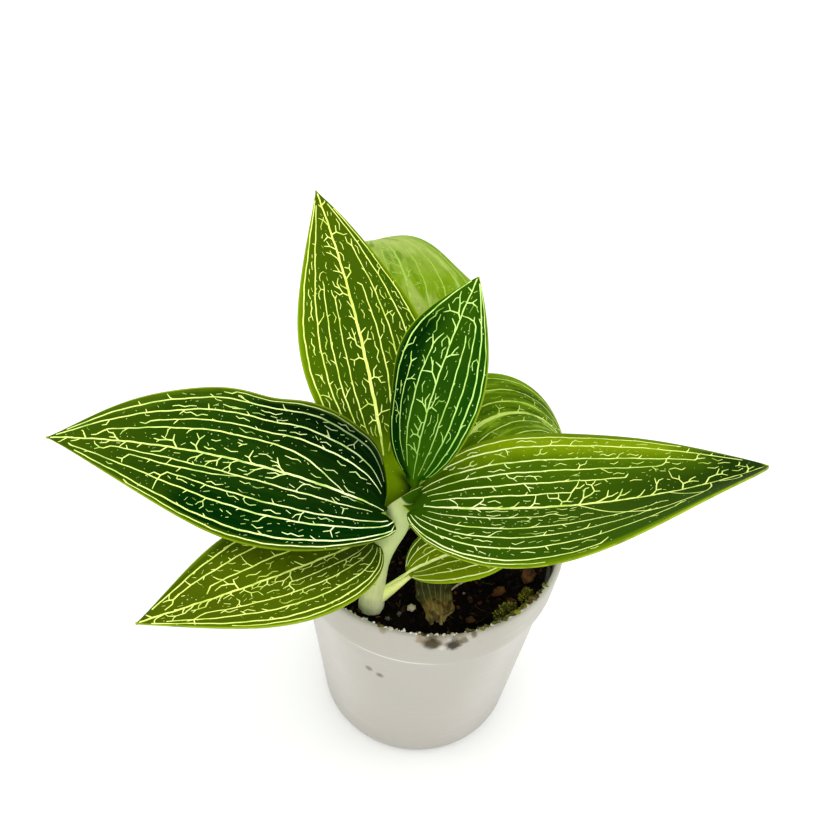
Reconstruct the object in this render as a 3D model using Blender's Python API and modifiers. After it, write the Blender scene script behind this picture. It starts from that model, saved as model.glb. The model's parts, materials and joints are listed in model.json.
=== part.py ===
"""Potted jewel orchid: a small plastic nursery pot, its soil with bark and perlite, one fleshy
stem with roots, and eight leaves that each clasp the stem with their own sheath.

Units are metres, +Z is up, and the origin is the centre of the pot's flat underside.
Leaves are described in millimetres and degrees and scaled by MM.
"""

import math

import bmesh
import bpy
from mathutils import Vector

MM = 0.001
GAP = 0.3 * MM

# Pot: a tapered wall with a wider band below the rim.
POT_HEIGHT = 61.5 * MM
RIM_RADIUS = 32.5 * MM
BAND_BOTTOM = 50.0 * MM
BAND_RADIUS = 31.4 * MM
NECK_RADIUS = 30.0 * MM
BASE_RADIUS = 24.6 * MM
WALL = 1.1 * MM
RIM_WALL = 1.7 * MM
FLOOR = 1.4 * MM
POT_STEPS = 48
DRAIN_HOLES = 6
DRAIN_CIRCLE = 15.5 * MM
DRAIN_RADIUS = 2.4 * MM

# Soil: a plug that fills the pot to a few millimetres under the rim.
SOIL_LEVEL = 55.0 * MM
SOIL_SWELL = 0.7 * MM
SOIL_SIDES = 36
SOIL_RING = 4.6 * MM

# Stem: leans to the back and the right, thickest where it enters the soil.
STEM_FOOT = (-11.8, -19.8, 44.0)
STEM_SOIL = (-11.2, -20.1, 55.0)
STEM_CROWN = (-6.0, -14.0, 84.0)
STEM_BOW = 1.1
STEM_RADII = (
    (44.0, 2.2), (45.2, 2.7), (56.0, 2.7), (60.0, 2.1), (66.0, 1.8), (76.0, 1.6), (84.0, 1.4),
)
STEM_TIP = 84.0
ROOT_RADIUS = 1.0 * MM
ROOT_DEPTH = 26.0 * MM
ROOTS = ((15.0, 19.0), (48.0, 26.0), (82.0, 22.0), (116.0, 16.0))

# Leaves.
BLADE = 0.5 * MM
TIP_HALF = 0.2
CLASP_GAP = 0.36
SHEATH = 1.2
MOUTH = 2.2
MOUTH_FLARE = 1.2
BLADE_ROWS = (0.0, 0.012, 0.035, 0.07, 0.12, 0.19, 0.28, 0.38, 0.49, 0.6, 0.7, 0.79, 0.87, 0.93, 0.97, 1.0)
MOUTH_ROWS = 4
PETIOLE_ROWS = 6
COLUMNS = 8
MIDRIB_STEPS = 60

# base: where the blade starts. heading and sweep: compass direction of the midrib and its change
# towards the tip. rise and droop: slope at the base and at the tip. bank: roll at the base and at
# the tip. shoulder and taper: exponents of the outline at the base and at the tip. lobe: how far
# the left and the right side of the base reach back. fold: angle of the V at the base and at the
# tip. curl: fall of the edges. waves: cycles, then height and phase of the left and of the right
# edge. stalk: half width where the stalk meets the blade. sheath: height of its foot, extra
# radius, half of the angle that it wraps at its foot and at its mouth, its heading, and how far
# the stalk spreads as it leaves the mouth.
LEAVES = {
    "leaf_left_big": dict(
        base=(-9.8, -15.3, 82.1), heading=179.0, sweep=0.0, rise=23.5, droop=-9.0,
        bank=(-26.3, -21.5), length=72.2, width=33.8, shoulder=0.60, taper=1.12, skew=-0.02,
        lobe=(3.7, 0.9), fold=(13.0, 13.0), curl=5.6, waves=(1.31, 2.0, 0.16, 3.0, 0.18),
        stalk=2.0, sheath=(73.5, 0.0, 130.0, 42.0, 190.0, 1.0)),
    "leaf_right_big": dict(
        base=(-3.3, -16.1, 84.7), heading=-14.0, sweep=42.0, rise=15.5, droop=5.0,
        bank=(13.0, -30.0), length=73.0, width=37.9, shoulder=0.59, taper=0.8, skew=0.05,
        lobe=(2.4, 1.6), fold=(15.0, 30.0), curl=-8.6, waves=(1.0, -1.4, -0.17, -2.5, -0.03),
        stalk=2.8, sheath=(80.8, 0.0, 135.0, 52.0, 308.0, 1.0)),
    "leaf_upper_left": dict(
        base=(-11.5, -1.1, 83.0), heading=113.8, sweep=9.0, rise=51.9, droop=34.0,
        bank=(1.7, 4.2), length=61.9, width=29.3, shoulder=0.61, taper=1.08, skew=-0.02,
        lobe=(0.0, 0.0), fold=(12.0, 12.0), curl=7.0, waves=(1.26, 1.4, 0.08, 1.8, -0.18),
        stalk=4.4, sheath=(77.2, 1.6, 92.0, 85.0, 58.0, 0.8)),
    "leaf_centre": dict(
        base=(-5.6, -12.1, 89.2), heading=66.0, sweep=-4.0, rise=66.0, droop=48.0,
        bank=(-10.6, -2.3), length=43.4, width=22.3, shoulder=0.69, taper=0.96, skew=-0.01,
        lobe=(-0.4, -0.4), fold=(21.0, 12.0), curl=9.4, waves=(1.18, -3.0, -0.12, 0.66, 0.1),
        stalk=2.2, sheath=(83.3, -0.1, 150.0, 40.0, 90.0, 1.0)),
    "leaf_lower_left": dict(
        base=(-12.6, -16.8, 73.1), heading=224.7, sweep=-10.0, rise=9.8, droop=7.0,
        bank=(-4.3, -1.4), length=51.5, width=28.9, shoulder=0.51, taper=1.08, skew=-0.06,
        lobe=(1.3, 1.3), fold=(21.0, 14.0), curl=4.9, waves=(1.18, 0.7, 0.11, -1.0, -0.13),
        stalk=1.9, sheath=(61.6, 0.0, 130.0, 40.0, 225.0, 1.0)),
    "leaf_low_small": dict(
        base=(-3.7, -16.8, 63.1), heading=30.0, sweep=-11.0, rise=21.0, droop=-29.0,
        bank=(2.0, 4.0), length=29.2, width=16.6, shoulder=0.63, taper=0.88, skew=0.0,
        lobe=(0.0, 0.0), fold=(21.0, 12.0), curl=7.8, waves=(1.2, 0.3, 0.0, 0.3, 0.05),
        stalk=1.3, sheath=(57.0, 0.0, 130.0, 40.0, 330.0, 1.0)),
    "leaf_back": dict(
        base=(-5.1, 8.5, 86.7), heading=96.1, sweep=19.0, rise=41.2, droop=-33.0,
        bank=(-0.9, 0.7), length=75.4, width=33.9, shoulder=0.58, taper=0.81, skew=0.00,
        lobe=(1.9, 1.9), fold=(21.0, 5.0), curl=9.4, waves=(1.50, 0.0, 0.00, 2.9, -0.17),
        stalk=1.9, sheath=(69.9, 0.0, 98.0, 40.0, 88.0, 0.55)),
    "leaf_right_back": dict(
        base=(-0.1, 1.6, 70.1), heading=70.5, sweep=-64.0, rise=46.0, droop=-77.0,
        bank=(7.3, 7.8), length=61.4, width=28.5, shoulder=0.57, taper=0.89, skew=0.00,
        lobe=(1.5, 1.5), fold=(22.0, 7.0), curl=6.0, waves=(1.18, -1.0, -0.06, 0.0, 0.00),
        stalk=1.9, sheath=(65.9, 0.0, 125.0, 40.0, 72.0, 1.0)),
}

# Loose pieces on the soil: x, y, length, width, height in millimetres, turn in degrees, seed.
BARK = (
    (24.2, -8.6, 5.4, 3.6, 3.0, 70.0, 1), (-17.6, -20.6, 3.6, 2.8, 2.4, 20.0, 2),
    (17.4, -13.8, 4.2, 2.6, 2.0, 40.0, 3), (20.6, -17.0, 3.4, 2.4, 1.8, 110.0, 4),
    (11.4, -22.6, 2.6, 1.9, 1.5, 15.0, 5), (9.0, 8.5, 6.0, 3.8, 2.8, 130.0, 6),
    (-9.5, 12.0, 5.0, 3.4, 2.4, 60.0, 7), (-21.5, 3.0, 5.6, 3.0, 2.4, 95.0, 8),
    (2.0, 21.5, 5.2, 3.6, 2.6, 10.0, 9),
)
PERLITE = (
    (-2.0, -20.8, 2.4, 1.9, 1.8, 30.0, 11), (-7.0, -24.3, 1.3, 1.1, 1.0, 0.0, 12),
    (-4.6, -22.6, 1.2, 1.0, 0.9, 50.0, 13), (16.0, 3.0, 2.2, 1.9, 1.6, 80.0, 14),
    (-15.0, -4.5, 2.4, 2.0, 1.8, 10.0, 15), (-4.0, 17.5, 2.1, 1.9, 1.7, 40.0, 16),
)
MOSS = (
    (18.6, -21.0, 6.4, 2.6, 4.8, 42.0, 21), (23.4, -15.2, 4.4, 2.2, 3.4, 57.0, 22),
    (-20.5, 17.5, 6.0, 2.6, 2.6, -50.0, 23),
)

# Dried leaf: hangs from under the small leaf onto the soil.
DRY_TOP = (3.6, -14.0, 60.6)
DRY_LENGTH = 10.3
DRY_WIDTH = 8.4
DRY_HEADING = 282.0
DRY_THICKNESS = 0.4 * MM
THREAD_RADIUS = 0.25 * MM
THREAD = ((5.9, -16.0, 2.4), (7.5, -14.6, 3.2), (9.5, -13.1, 3.3), (11.5, -11.6, 2.4), (13.1, -10.2, 0.9))

COLOURS = {
    "pot_plastic": ((0.80, 0.79, 0.77), 0.42),
    "soil": ((0.020, 0.014, 0.010), 0.95),
    "stem": ((0.62, 0.72, 0.45), 0.45),
    "leaf_dark": ((0.010, 0.070, 0.012), 0.38),
    "leaf_mid": ((0.055, 0.150, 0.012), 0.40),
    "leaf_light": ((0.200, 0.350, 0.050), 0.42),
    "root": ((0.45, 0.40, 0.28), 0.75),
    "bark": ((0.160, 0.075, 0.035), 0.85),
    "perlite": ((0.75, 0.74, 0.70), 0.80),
    "moss": ((0.160, 0.180, 0.030), 0.90),
    "dried_leaf": ((0.270, 0.210, 0.110), 0.85),
}
LEAF_COLOUR = {
    "leaf_left_big": "leaf_dark", "leaf_centre": "leaf_dark",
    "leaf_back": "leaf_light", "leaf_low_small": "leaf_light",
}


def clear_scene():
    for item in list(bpy.data.objects):
        bpy.data.objects.remove(item, do_unlink=True)


def make_collection(name):
    group = bpy.data.collections.new(name)
    bpy.context.scene.collection.children.link(group)
    return group


def material(name):
    found = bpy.data.materials.get(name)
    if found:
        return found
    colour, roughness = COLOURS[name]
    made = bpy.data.materials.new(name)
    made.use_nodes = True
    shader = made.node_tree.nodes["Principled BSDF"]
    shader.inputs["Base Color"].default_value = (*colour, 1.0)
    shader.inputs["Roughness"].default_value = roughness
    shader.inputs["Metallic"].default_value = 0.0
    return made


def add_object(name, data, group, finish):
    made = bpy.data.objects.new(name, data)
    data.materials.append(material(finish))
    group.objects.link(made)
    return made


def mesh_from(bm, name):
    data = bpy.data.meshes.new(name)
    bm.to_mesh(data)
    bm.free()
    return data


def turned(name, profile, steps, group, finish):
    """A profile of (radius, height) points, top to bottom on its outer side, turned about Z."""
    bm = bmesh.new()
    points = [bm.verts.new((radius, 0.0, height)) for radius, height in profile]
    for first, second in zip(points, points[1:]):
        bm.edges.new((first, second))
    made = add_object(name, mesh_from(bm, name), group, finish)
    screw = made.modifiers.new("Turn", "SCREW")
    screw.steps = steps
    screw.render_steps = steps
    screw.use_merge_vertices = True
    screw.merge_threshold = 0.00001
    return made


def cut(target, cutter):
    difference = target.modifiers.new("Cut " + cutter.name, "BOOLEAN")
    difference.operation = "DIFFERENCE"
    difference.solver = "EXACT"
    difference.object = cutter
    cutter.hide_render = True
    cutter.display_type = "WIRE"


def tube(name, points, radii, group, finish, sides=2):
    """A filled tube through points, with one radius at each point."""
    data = bpy.data.curves.new(name, "CURVE")
    data.dimensions = "3D"
    data.bevel_depth = 1.0
    data.bevel_resolution = sides
    data.use_fill_caps = True
    spline = data.splines.new("POLY")
    spline.points.add(len(points) - 1)
    for slot, point, radius in zip(spline.points, points, radii):
        slot.co = (*point, 1.0)
        slot.radius = radius
    return add_object(name, data, group, finish)


def tube_cutter(name, points, radii, group, finish):
    """The tube as a closed mesh, for cutting."""
    source = tube(name + "_curve", points, radii, group, finish)
    bpy.context.view_layer.update()
    graph = bpy.context.evaluated_depsgraph_get()
    data = bpy.data.meshes.new_from_object(source.evaluated_get(graph))
    bm = bmesh.new()
    bm.from_mesh(data)
    bmesh.ops.remove_doubles(bm, verts=bm.verts, dist=0.00001)
    bm.to_mesh(data)
    bm.free()
    made = add_object(name, data, group, finish)
    made.matrix_world = source.matrix_world
    bpy.data.objects.remove(source, do_unlink=True)
    return made


# Pot


def pot_profile():
    floor_radius = BASE_RADIUS - WALL - 0.4 * MM
    neck_inside = NECK_RADIUS - WALL - 0.2 * MM
    rim_inside = RIM_RADIUS - RIM_WALL
    return [
        (0.0, FLOOR),
        (floor_radius - 1.0 * MM, FLOOR),
        (floor_radius, FLOOR + 0.9 * MM),
        (neck_inside, BAND_BOTTOM - 1.0 * MM),
        (rim_inside - 0.9 * MM, BAND_BOTTOM + 0.6 * MM),
        (rim_inside, POT_HEIGHT - 0.8 * MM),
        (rim_inside + 0.4 * MM, POT_HEIGHT),
        (RIM_RADIUS - 0.4 * MM, POT_HEIGHT),
        (RIM_RADIUS, POT_HEIGHT - 0.6 * MM),
        (BAND_RADIUS, BAND_BOTTOM + 0.6 * MM),
        (BAND_RADIUS - 0.6 * MM, BAND_BOTTOM),
        (NECK_RADIUS, BAND_BOTTOM - 0.8 * MM),
        (BASE_RADIUS, 1.6 * MM),
        (BASE_RADIUS - 0.5 * MM, 0.4 * MM),
        (BASE_RADIUS - 1.6 * MM, 0.0),
        (0.0, 0.0),
    ]


def build_pot(group, cutters):
    pot = turned("pot", pot_profile(), POT_STEPS, group, "pot_plastic")
    for index in range(DRAIN_HOLES):
        angle = 2.0 * math.pi * (index + 0.5) / DRAIN_HOLES
        bm = bmesh.new()
        bmesh.ops.create_cone(bm, cap_ends=True, segments=16, radius1=DRAIN_RADIUS,
                              radius2=DRAIN_RADIUS, depth=4.0 * FLOOR)
        hole = add_object("drain_cutter_%d" % index, mesh_from(bm, "drain"), cutters, "soil")
        hole.location = (DRAIN_CIRCLE * math.cos(angle), DRAIN_CIRCLE * math.sin(angle), FLOOR / 2.0)
        cut(pot, hole)
    return pot


# Soil


def soil_height(x, y):
    """Height of the uneven soil top; it climbs a little where it meets the pot's wall."""
    radius = math.hypot(x, y) / RIM_RADIUS
    swell = (math.sin(x / (5.3 * MM) + 0.6) * math.cos(y / (6.1 * MM) - 0.4)
             + 0.6 * math.sin((x - 1.7 * y) / (8.7 * MM)))
    return SOIL_LEVEL + SOIL_SWELL * (0.6 * swell * (1.0 - 0.6 * radius ** 4) + 0.9 * radius ** 2)


def soil_profile():
    """Half outline of the plug: out along the top, down the wall, back along the floor."""
    slack = 2.0 * GAP
    floor_radius = BASE_RADIUS - WALL - 0.4 * MM - slack
    neck_radius = NECK_RADIUS - WALL - 0.2 * MM - slack
    top_radius = RIM_RADIUS - RIM_WALL - 0.9 * MM - slack
    rings = round(top_radius / SOIL_RING)
    outline = [(top_radius * i / rings, SOIL_LEVEL) for i in range(rings + 1)]
    outline += [
        (top_radius, BAND_BOTTOM + 0.8 * MM),
        (neck_radius, BAND_BOTTOM - 1.4 * MM),
        (floor_radius, FLOOR + 1.2 * MM),
        (floor_radius - 1.0 * MM, FLOOR + GAP),
        (0.0, FLOOR + GAP),
    ]
    return outline, rings


def build_soil(group):
    outline, rings = soil_profile()
    bm = bmesh.new()
    points = [bm.verts.new((radius, 0.0, height)) for radius, height in outline]
    edges = [bm.edges.new(pair) for pair in zip(points, points[1:])]
    bmesh.ops.spin(bm, geom=points + edges, cent=(0, 0, 0), axis=(0, 0, 1),
                   angle=2.0 * math.pi, steps=SOIL_SIDES)
    bmesh.ops.remove_doubles(bm, verts=bm.verts, dist=0.00001)
    for vert in bm.verts:
        if vert.co.z > SOIL_LEVEL - GAP:
            vert.co.z = soil_height(vert.co.x, vert.co.y)
    bmesh.ops.recalc_face_normals(bm, faces=bm.faces)
    return add_object("soil", mesh_from(bm, "soil"), group, "soil")


# Stem and roots


def stem_point(height):
    """Centre of the stem at a height, all in millimetres: an upright foot, then a bowed lean."""
    low, middle, top = Vector(STEM_FOOT), Vector(STEM_SOIL), Vector(STEM_CROWN)
    if height < middle.z:
        return low.lerp(middle, (height - low.z) / (middle.z - low.z))
    share = (height - middle.z) / (top.z - middle.z)
    return middle.lerp(top, share) - Vector((STEM_BOW * math.sin(math.pi * share), 0.0, 0.0))


def stem_axis():
    return (Vector(STEM_CROWN) - Vector(STEM_SOIL)).normalized()


def stem_radius(height):
    for (low, first), (high, second) in zip(STEM_RADII, STEM_RADII[1:]):
        if height <= high:
            return first + (second - first) * max(0.0, (height - low) / (high - low))
    return STEM_RADII[-1][1]


def stem_outline(extra=0.0):
    heights = [STEM_FOOT[2] - extra / MM, STEM_FOOT[2] + 0.4]
    heights += [46.0 + 3.0 * step for step in range(12)] + [STEM_TIP - 0.6, STEM_TIP]
    points = [stem_point(height) * MM for height in heights]
    radii = [stem_radius(height) * MM + extra for height in heights]
    radii[0] *= 0.7
    radii[-1] *= 0.4
    return points, radii


def root_route(heading, reach):
    """A root leaves the side of the foot, arches out and sinks towards the floor of the pot."""
    start = stem_point(STEM_FOOT[2] + 4.0) * MM
    angle = math.radians(heading)
    out = Vector((math.cos(angle), math.sin(angle), 0.0))
    points = []
    for step in range(9):
        t = step / 8.0
        wiggle = 1.4 * MM * math.sin(5.0 * t + heading)
        side = Vector((-out.y, out.x, 0.0)) * wiggle * t
        drop = Vector((0.0, 0.0, -ROOT_DEPTH * t ** 1.6))
        points.append(start + out * (3.6 * MM + reach * MM * t ** 0.8) + side + drop)
    return points


def root_radii(extra=0.0):
    return [ROOT_RADIUS * (1.0 - 0.5 * step / 8.0) + extra for step in range(9)]


def build_stem_and_roots(group, cutters, soil):
    points, radii = stem_outline()
    tube("stem", points, radii, group, "stem", sides=3)
    points, radii = stem_outline(GAP)
    cut(soil, tube_cutter("stem_pocket", points, radii, cutters, "soil"))
    for index, (heading, reach) in enumerate(ROOTS, 1):
        route = root_route(heading, reach)
        tube("root_%d" % index, route, root_radii(), group, "root", sides=1)
        first = route[0] + (route[0] - route[1]).normalized() * 2.4 * MM
        last = route[-1] + (route[-1] - route[-2]).normalized() * GAP
        channel = [first] + route + [last]
        widths = root_radii(GAP)
        widths = [widths[0]] + widths + [widths[-1]]
        cut(soil, tube_cutter("root_channel_%d" % index, channel, widths, cutters, "soil"))


# Leaves


def blade_frames(leaf):
    """Midrib of the blade as (share of length, point, along, left, up), in millimetres."""
    frames = []
    point = Vector(leaf["base"])
    step = leaf["length"] / MIDRIB_STEPS
    for index in range(MIDRIB_STEPS + 1):
        u = index / MIDRIB_STEPS
        slope = math.radians(leaf["rise"] + (leaf["droop"] - leaf["rise"]) * u)
        compass = math.radians(leaf["heading"] + leaf["sweep"] * u)
        roll = math.radians(leaf["bank"][0] + (leaf["bank"][1] - leaf["bank"][0]) * u)
        along = Vector((math.cos(slope) * math.cos(compass), math.cos(slope) * math.sin(compass),
                        math.sin(slope)))
        level = Vector((-math.sin(compass), math.cos(compass), 0.0))
        normal = along.cross(level)
        left = level * math.cos(roll) + normal * math.sin(roll)
        if index:
            point = point + (frames[-1][2] + along) * 0.5 * step
        frames.append((u, point, along, left, along.cross(left)))
    return frames


def half_width(leaf, u):
    """Outline of the blade: rounded at the base, fine at the tip, never narrower than its stalk."""
    a, b = leaf["shoulder"], leaf["taper"]
    widest = a / (a + b)
    outline = leaf["width"] / 2.0 * (u / widest) ** a * ((1.0 - u) / (1.0 - widest)) ** b
    stalk = leaf["stalk"] * max(0.0, 1.0 - 4.0 * u)
    return max(outline, stalk, TIP_HALF)


def blade_point(leaf, frames, u, v):
    """Point of the blade at a share u of its length and v across, from -1 right to 1 left."""
    place = u * MIDRIB_STEPS
    index = min(int(place), MIDRIB_STEPS - 1)
    share = place - index
    mixed = [a.lerp(b, share) for a, b in zip(frames[index][1:], frames[index + 1][1:])]
    centre, along, left, up = mixed
    side = math.copysign(1.0, v)
    reach = abs(v)
    fold = math.radians(leaf["fold"][0] + (leaf["fold"][1] - leaf["fold"][0]) * u)
    bend = fold + math.radians(leaf["curl"])
    bend = math.copysign(max(abs(bend), 0.001), bend)
    across = (math.sin(fold) - math.sin(fold - bend * reach)) / bend
    lift = (math.cos(fold - bend * reach) - math.cos(fold)) / bend
    width = half_width(leaf, u) * (1.0 + leaf["skew"] * side)
    cycles, left_wave, left_phase, right_wave, right_phase = leaf["waves"]
    wave, phase = (left_wave, left_phase) if side > 0 else (right_wave, right_phase)
    fullness = half_width(leaf, u) * 2.0 / leaf["width"]
    ripple = wave * math.sin(2.0 * math.pi * (cycles * u + phase)) * reach ** 2 * fullness
    lobe = leaf["lobe"][0 if side > 0 else 1]
    back = lobe * reach ** 1.5 * (1.0 - u) ** 3 * min(1.0, u / 0.03)
    return centre + left * (across * width * side) + up * (lift * width + ripple) - along * back


def clasp_point(height, radius, angle):
    """Point beside the stem at a height, at a distance from its axis and a compass angle."""
    axis = stem_axis()
    east = (Vector((1, 0, 0)) - axis * axis.x).normalized()
    north = axis.cross(east)
    return stem_point(height) + (east * math.cos(angle) + north * math.sin(angle)) * radius


def leaf_rows(leaf):
    """Rows of points from the foot of the sheath to the tip of the blade."""
    foot, extra, wrap, narrow, heading, spread = leaf["sheath"]
    wrap, narrow, heading = (math.radians(angle) for angle in (wrap, narrow, heading))
    radius = stem_radius(foot) + BLADE / MM / 2.0 + CLASP_GAP + extra
    across = [2.0 * column / COLUMNS - 1.0 for column in range(COLUMNS + 1)]
    frames = blade_frames(leaf)
    rows = [[clasp_point(foot, radius, heading + v * wrap) for v in across]]
    for index in range(MOUTH_ROWS + 1):
        t = index / MOUTH_ROWS
        angle = wrap + (narrow - wrap) * t
        height = foot + SHEATH + MOUTH * t
        flared = radius + MOUTH_FLARE * t ** 2
        rows.append([clasp_point(height, flared, heading + v * angle) for v in across])
    start = rows[-1]
    finish = [blade_point(leaf, frames, 0.0, v) for v in across]
    reach = (finish[COLUMNS // 2] - start[COLUMNS // 2]).length
    leave = (stem_axis() * 0.7 + Vector((math.cos(heading), math.sin(heading), 0.0)) * spread) * reach
    arrive = frames[0][2] * reach
    for index in range(1, PETIOLE_ROWS):
        t = index / PETIOLE_ROWS
        from_start = 2 * t ** 3 - 3 * t ** 2 + 1
        from_finish = 3 * t ** 2 - 2 * t ** 3
        pull_start = t ** 3 - 2 * t ** 2 + t
        pull_finish = t ** 3 - t ** 2
        rows.append([a * from_start + b * from_finish + leave * pull_start + arrive * pull_finish
                     for a, b in zip(start, finish)])
    rows += [[blade_point(leaf, frames, u, v) for v in across] for u in BLADE_ROWS]
    return rows


def build_leaf(name, leaf, group):
    rows = leaf_rows(leaf)
    bm = bmesh.new()
    bmesh.ops.create_grid(bm, x_segments=COLUMNS, y_segments=len(rows) - 1, size=1.0)
    bm.verts.ensure_lookup_table()
    places = [point for row in rows for point in row]
    for vert, place in zip(bm.verts, places):
        vert.co = place * MM
    made = add_object(name, mesh_from(bm, name), group, LEAF_COLOUR.get(name, "leaf_mid"))
    made.data.shade_smooth()
    shell = made.modifiers.new("Thickness", "SOLIDIFY")
    shell.thickness = BLADE
    shell.offset = 0.0
    return made


# Litter on the soil


def nugget(name, spec, group, finish, jagged):
    """A rough lump, set down just clear of the soil under it."""
    x, y, length, width, height, turn, seed = spec
    bm = bmesh.new()
    bmesh.ops.create_icosphere(bm, subdivisions=1, radius=0.5)
    angle = math.radians(turn)
    for index, vert in enumerate(bm.verts):
        rough = 1.0 + jagged * math.sin(12.9 * index + 4.7 * seed)
        local = Vector((vert.co.x * length, vert.co.y * width, vert.co.z * height)) * rough * MM
        vert.co = Vector((x * MM + local.x * math.cos(angle) - local.y * math.sin(angle),
                          y * MM + local.x * math.sin(angle) + local.y * math.cos(angle), local.z))
    rise = max(soil_height(vert.co.x, vert.co.y) - vert.co.z for vert in bm.verts)
    bmesh.ops.translate(bm, verts=bm.verts, vec=(0.0, 0.0, rise + 1.2 * GAP))
    return add_object(name, mesh_from(bm, name), group, finish)


def build_dried_leaf(group):
    """A crumpled papery blade that narrows to a ragged tip on the soil."""
    rows, columns = 9, 6
    heading = math.radians(DRY_HEADING)
    out = Vector((math.cos(heading), math.sin(heading), 0.0))
    side = Vector((-out.y, out.x, 0.0))
    bm = bmesh.new()
    bmesh.ops.create_grid(bm, x_segments=columns, y_segments=rows, size=1.0)
    bm.verts.ensure_lookup_table()
    for index, vert in enumerate(bm.verts):
        t = (index // (columns + 1)) / rows
        v = 2.0 * (index % (columns + 1)) / columns - 1.0
        half = DRY_WIDTH / 2.0 * (1.0 - 0.75 * t ** 1.4) * (1.0 + 0.10 * math.sin(9.0 * t + 2.0 * v))
        along = DRY_LENGTH * t + 0.5 * math.sin(7.0 * v) * t
        crumple = 0.45 * math.sin(4.2 * v + 3.0 * t) + 0.3 * math.sin(8.0 * t - 2.0 * v)
        place = (Vector(DRY_TOP) + out * along + side * (half * v)) * MM
        place.z += (crumple - 4.6 * t ** 0.8) * MM
        ground = soil_height(place.x, place.y) + DRY_THICKNESS / 2.0 + 1.4 * GAP
        vert.co = (place.x, place.y, max(place.z, ground))
    made = add_object("dried_leaf", mesh_from(bm, "dried_leaf"), group, "dried_leaf")
    shell = made.modifiers.new("Thickness", "SOLIDIFY")
    shell.thickness = DRY_THICKNESS
    shell.offset = 0.0
    return made


def build_thread(group):
    points = [Vector((x * MM, y * MM, soil_height(x * MM, y * MM) + lift * MM)) for x, y, lift in THREAD]
    tube("dry_thread", points, [THREAD_RADIUS] * len(points), group, "dried_leaf", sides=1)


def build_litter(group):
    for index, spec in enumerate(BARK, 1):
        nugget("bark_chip_%d" % index, spec, group, "bark", 0.14)
    for index, spec in enumerate(PERLITE, 1):
        nugget("perlite_%d" % index, spec, group, "perlite", 0.08)
    for index, spec in enumerate(MOSS, 1):
        nugget("moss_tuft_%d" % index, spec, group, "moss", 0.10)
    build_dried_leaf(group)
    build_thread(group)


def main():
    clear_scene()
    parts = make_collection("potted_jewel_orchid")
    cutters = make_collection("cutters")
    build_pot(parts, cutters)
    soil = build_soil(parts)
    build_stem_and_roots(parts, cutters, soil)
    for name, leaf in LEAVES.items():
        build_leaf(name, leaf, parts)
    build_litter(parts)


main()
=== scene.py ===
import json
import math
import random

import bmesh
import bpy
from mathutils import Matrix, Vector, noise
from mathutils.geometry import delaunay_2d_cdt

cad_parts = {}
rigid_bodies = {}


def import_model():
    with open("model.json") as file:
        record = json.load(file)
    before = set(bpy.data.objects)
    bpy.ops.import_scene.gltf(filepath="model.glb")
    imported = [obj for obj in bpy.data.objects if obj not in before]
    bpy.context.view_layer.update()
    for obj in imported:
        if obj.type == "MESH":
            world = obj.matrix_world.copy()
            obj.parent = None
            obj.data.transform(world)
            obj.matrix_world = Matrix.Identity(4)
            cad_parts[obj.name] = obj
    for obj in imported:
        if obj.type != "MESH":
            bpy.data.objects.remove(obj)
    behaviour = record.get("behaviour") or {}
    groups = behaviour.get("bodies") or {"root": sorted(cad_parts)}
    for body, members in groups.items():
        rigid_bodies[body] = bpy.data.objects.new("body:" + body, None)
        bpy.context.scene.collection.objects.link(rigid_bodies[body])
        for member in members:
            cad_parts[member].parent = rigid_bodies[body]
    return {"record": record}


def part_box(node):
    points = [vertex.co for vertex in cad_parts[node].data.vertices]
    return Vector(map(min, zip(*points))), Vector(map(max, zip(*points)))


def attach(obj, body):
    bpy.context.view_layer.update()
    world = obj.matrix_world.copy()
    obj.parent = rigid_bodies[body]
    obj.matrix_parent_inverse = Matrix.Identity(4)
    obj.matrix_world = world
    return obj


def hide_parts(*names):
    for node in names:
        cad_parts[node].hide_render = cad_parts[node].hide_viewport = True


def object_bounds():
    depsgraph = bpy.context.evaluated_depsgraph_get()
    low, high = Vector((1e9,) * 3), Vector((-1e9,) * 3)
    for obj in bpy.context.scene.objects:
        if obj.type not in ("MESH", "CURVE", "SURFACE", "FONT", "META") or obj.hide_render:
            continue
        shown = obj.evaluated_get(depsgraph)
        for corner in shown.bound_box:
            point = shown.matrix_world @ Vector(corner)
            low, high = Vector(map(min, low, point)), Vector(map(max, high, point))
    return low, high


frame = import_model()
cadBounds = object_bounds()
bpy.ops.object.select_all(action="DESELECT")
mm = 0.001


def tone(code):
    # hex screen colour to the linear values that a shader wants
    parts = [int(code[i:i + 2], 16) / 255 for i in (0, 2, 4)]
    return tuple(p / 12.92 if p <= 0.04045 else ((p + 0.055) / 1.055) ** 2.4 for p in parts) + (1.0,)


def addObject(name, data):
    made = bpy.data.objects.new(name, data)
    bpy.context.scene.collection.objects.link(made)
    return made


def newMesh(name, points, faces, inks=()):
    # inks gives each face the number of its material
    data = bpy.data.meshes.new(name)
    data.from_pydata(points, [], faces)
    if inks:
        data.polygons.foreach_set("material_index", inks)
    return addObject(name, data)


def gridFaces(gaps, columns, first=0, closed=True, flip=False):
    # quads between rows of points. a closed row joins its end to its start, and flip turns them over
    faces = []
    for gap in range(gaps):
        low = first + gap * columns
        for column in range(columns if closed else columns - 1):
            a, b = low + column, low + (column + 1) % columns
            faces.append((a, a + columns, b + columns, b) if flip else (a, b, b + columns, a + columns))
    return faces


def pick(piece):
    bpy.ops.object.select_all(action="DESELECT")
    piece.select_set(True)
    bpy.context.view_layer.objects.active = piece


def reshape(piece, operation, **settings):
    # one edit of the whole mesh
    pick(piece)
    bpy.ops.object.mode_set(mode="EDIT")
    bpy.ops.mesh.select_all(action="SELECT")
    operation(**settings)
    bpy.ops.object.mode_set(mode="OBJECT")


def faceOutward(piece):
    reshape(piece, bpy.ops.mesh.normals_make_consistent, inside=False)


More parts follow.
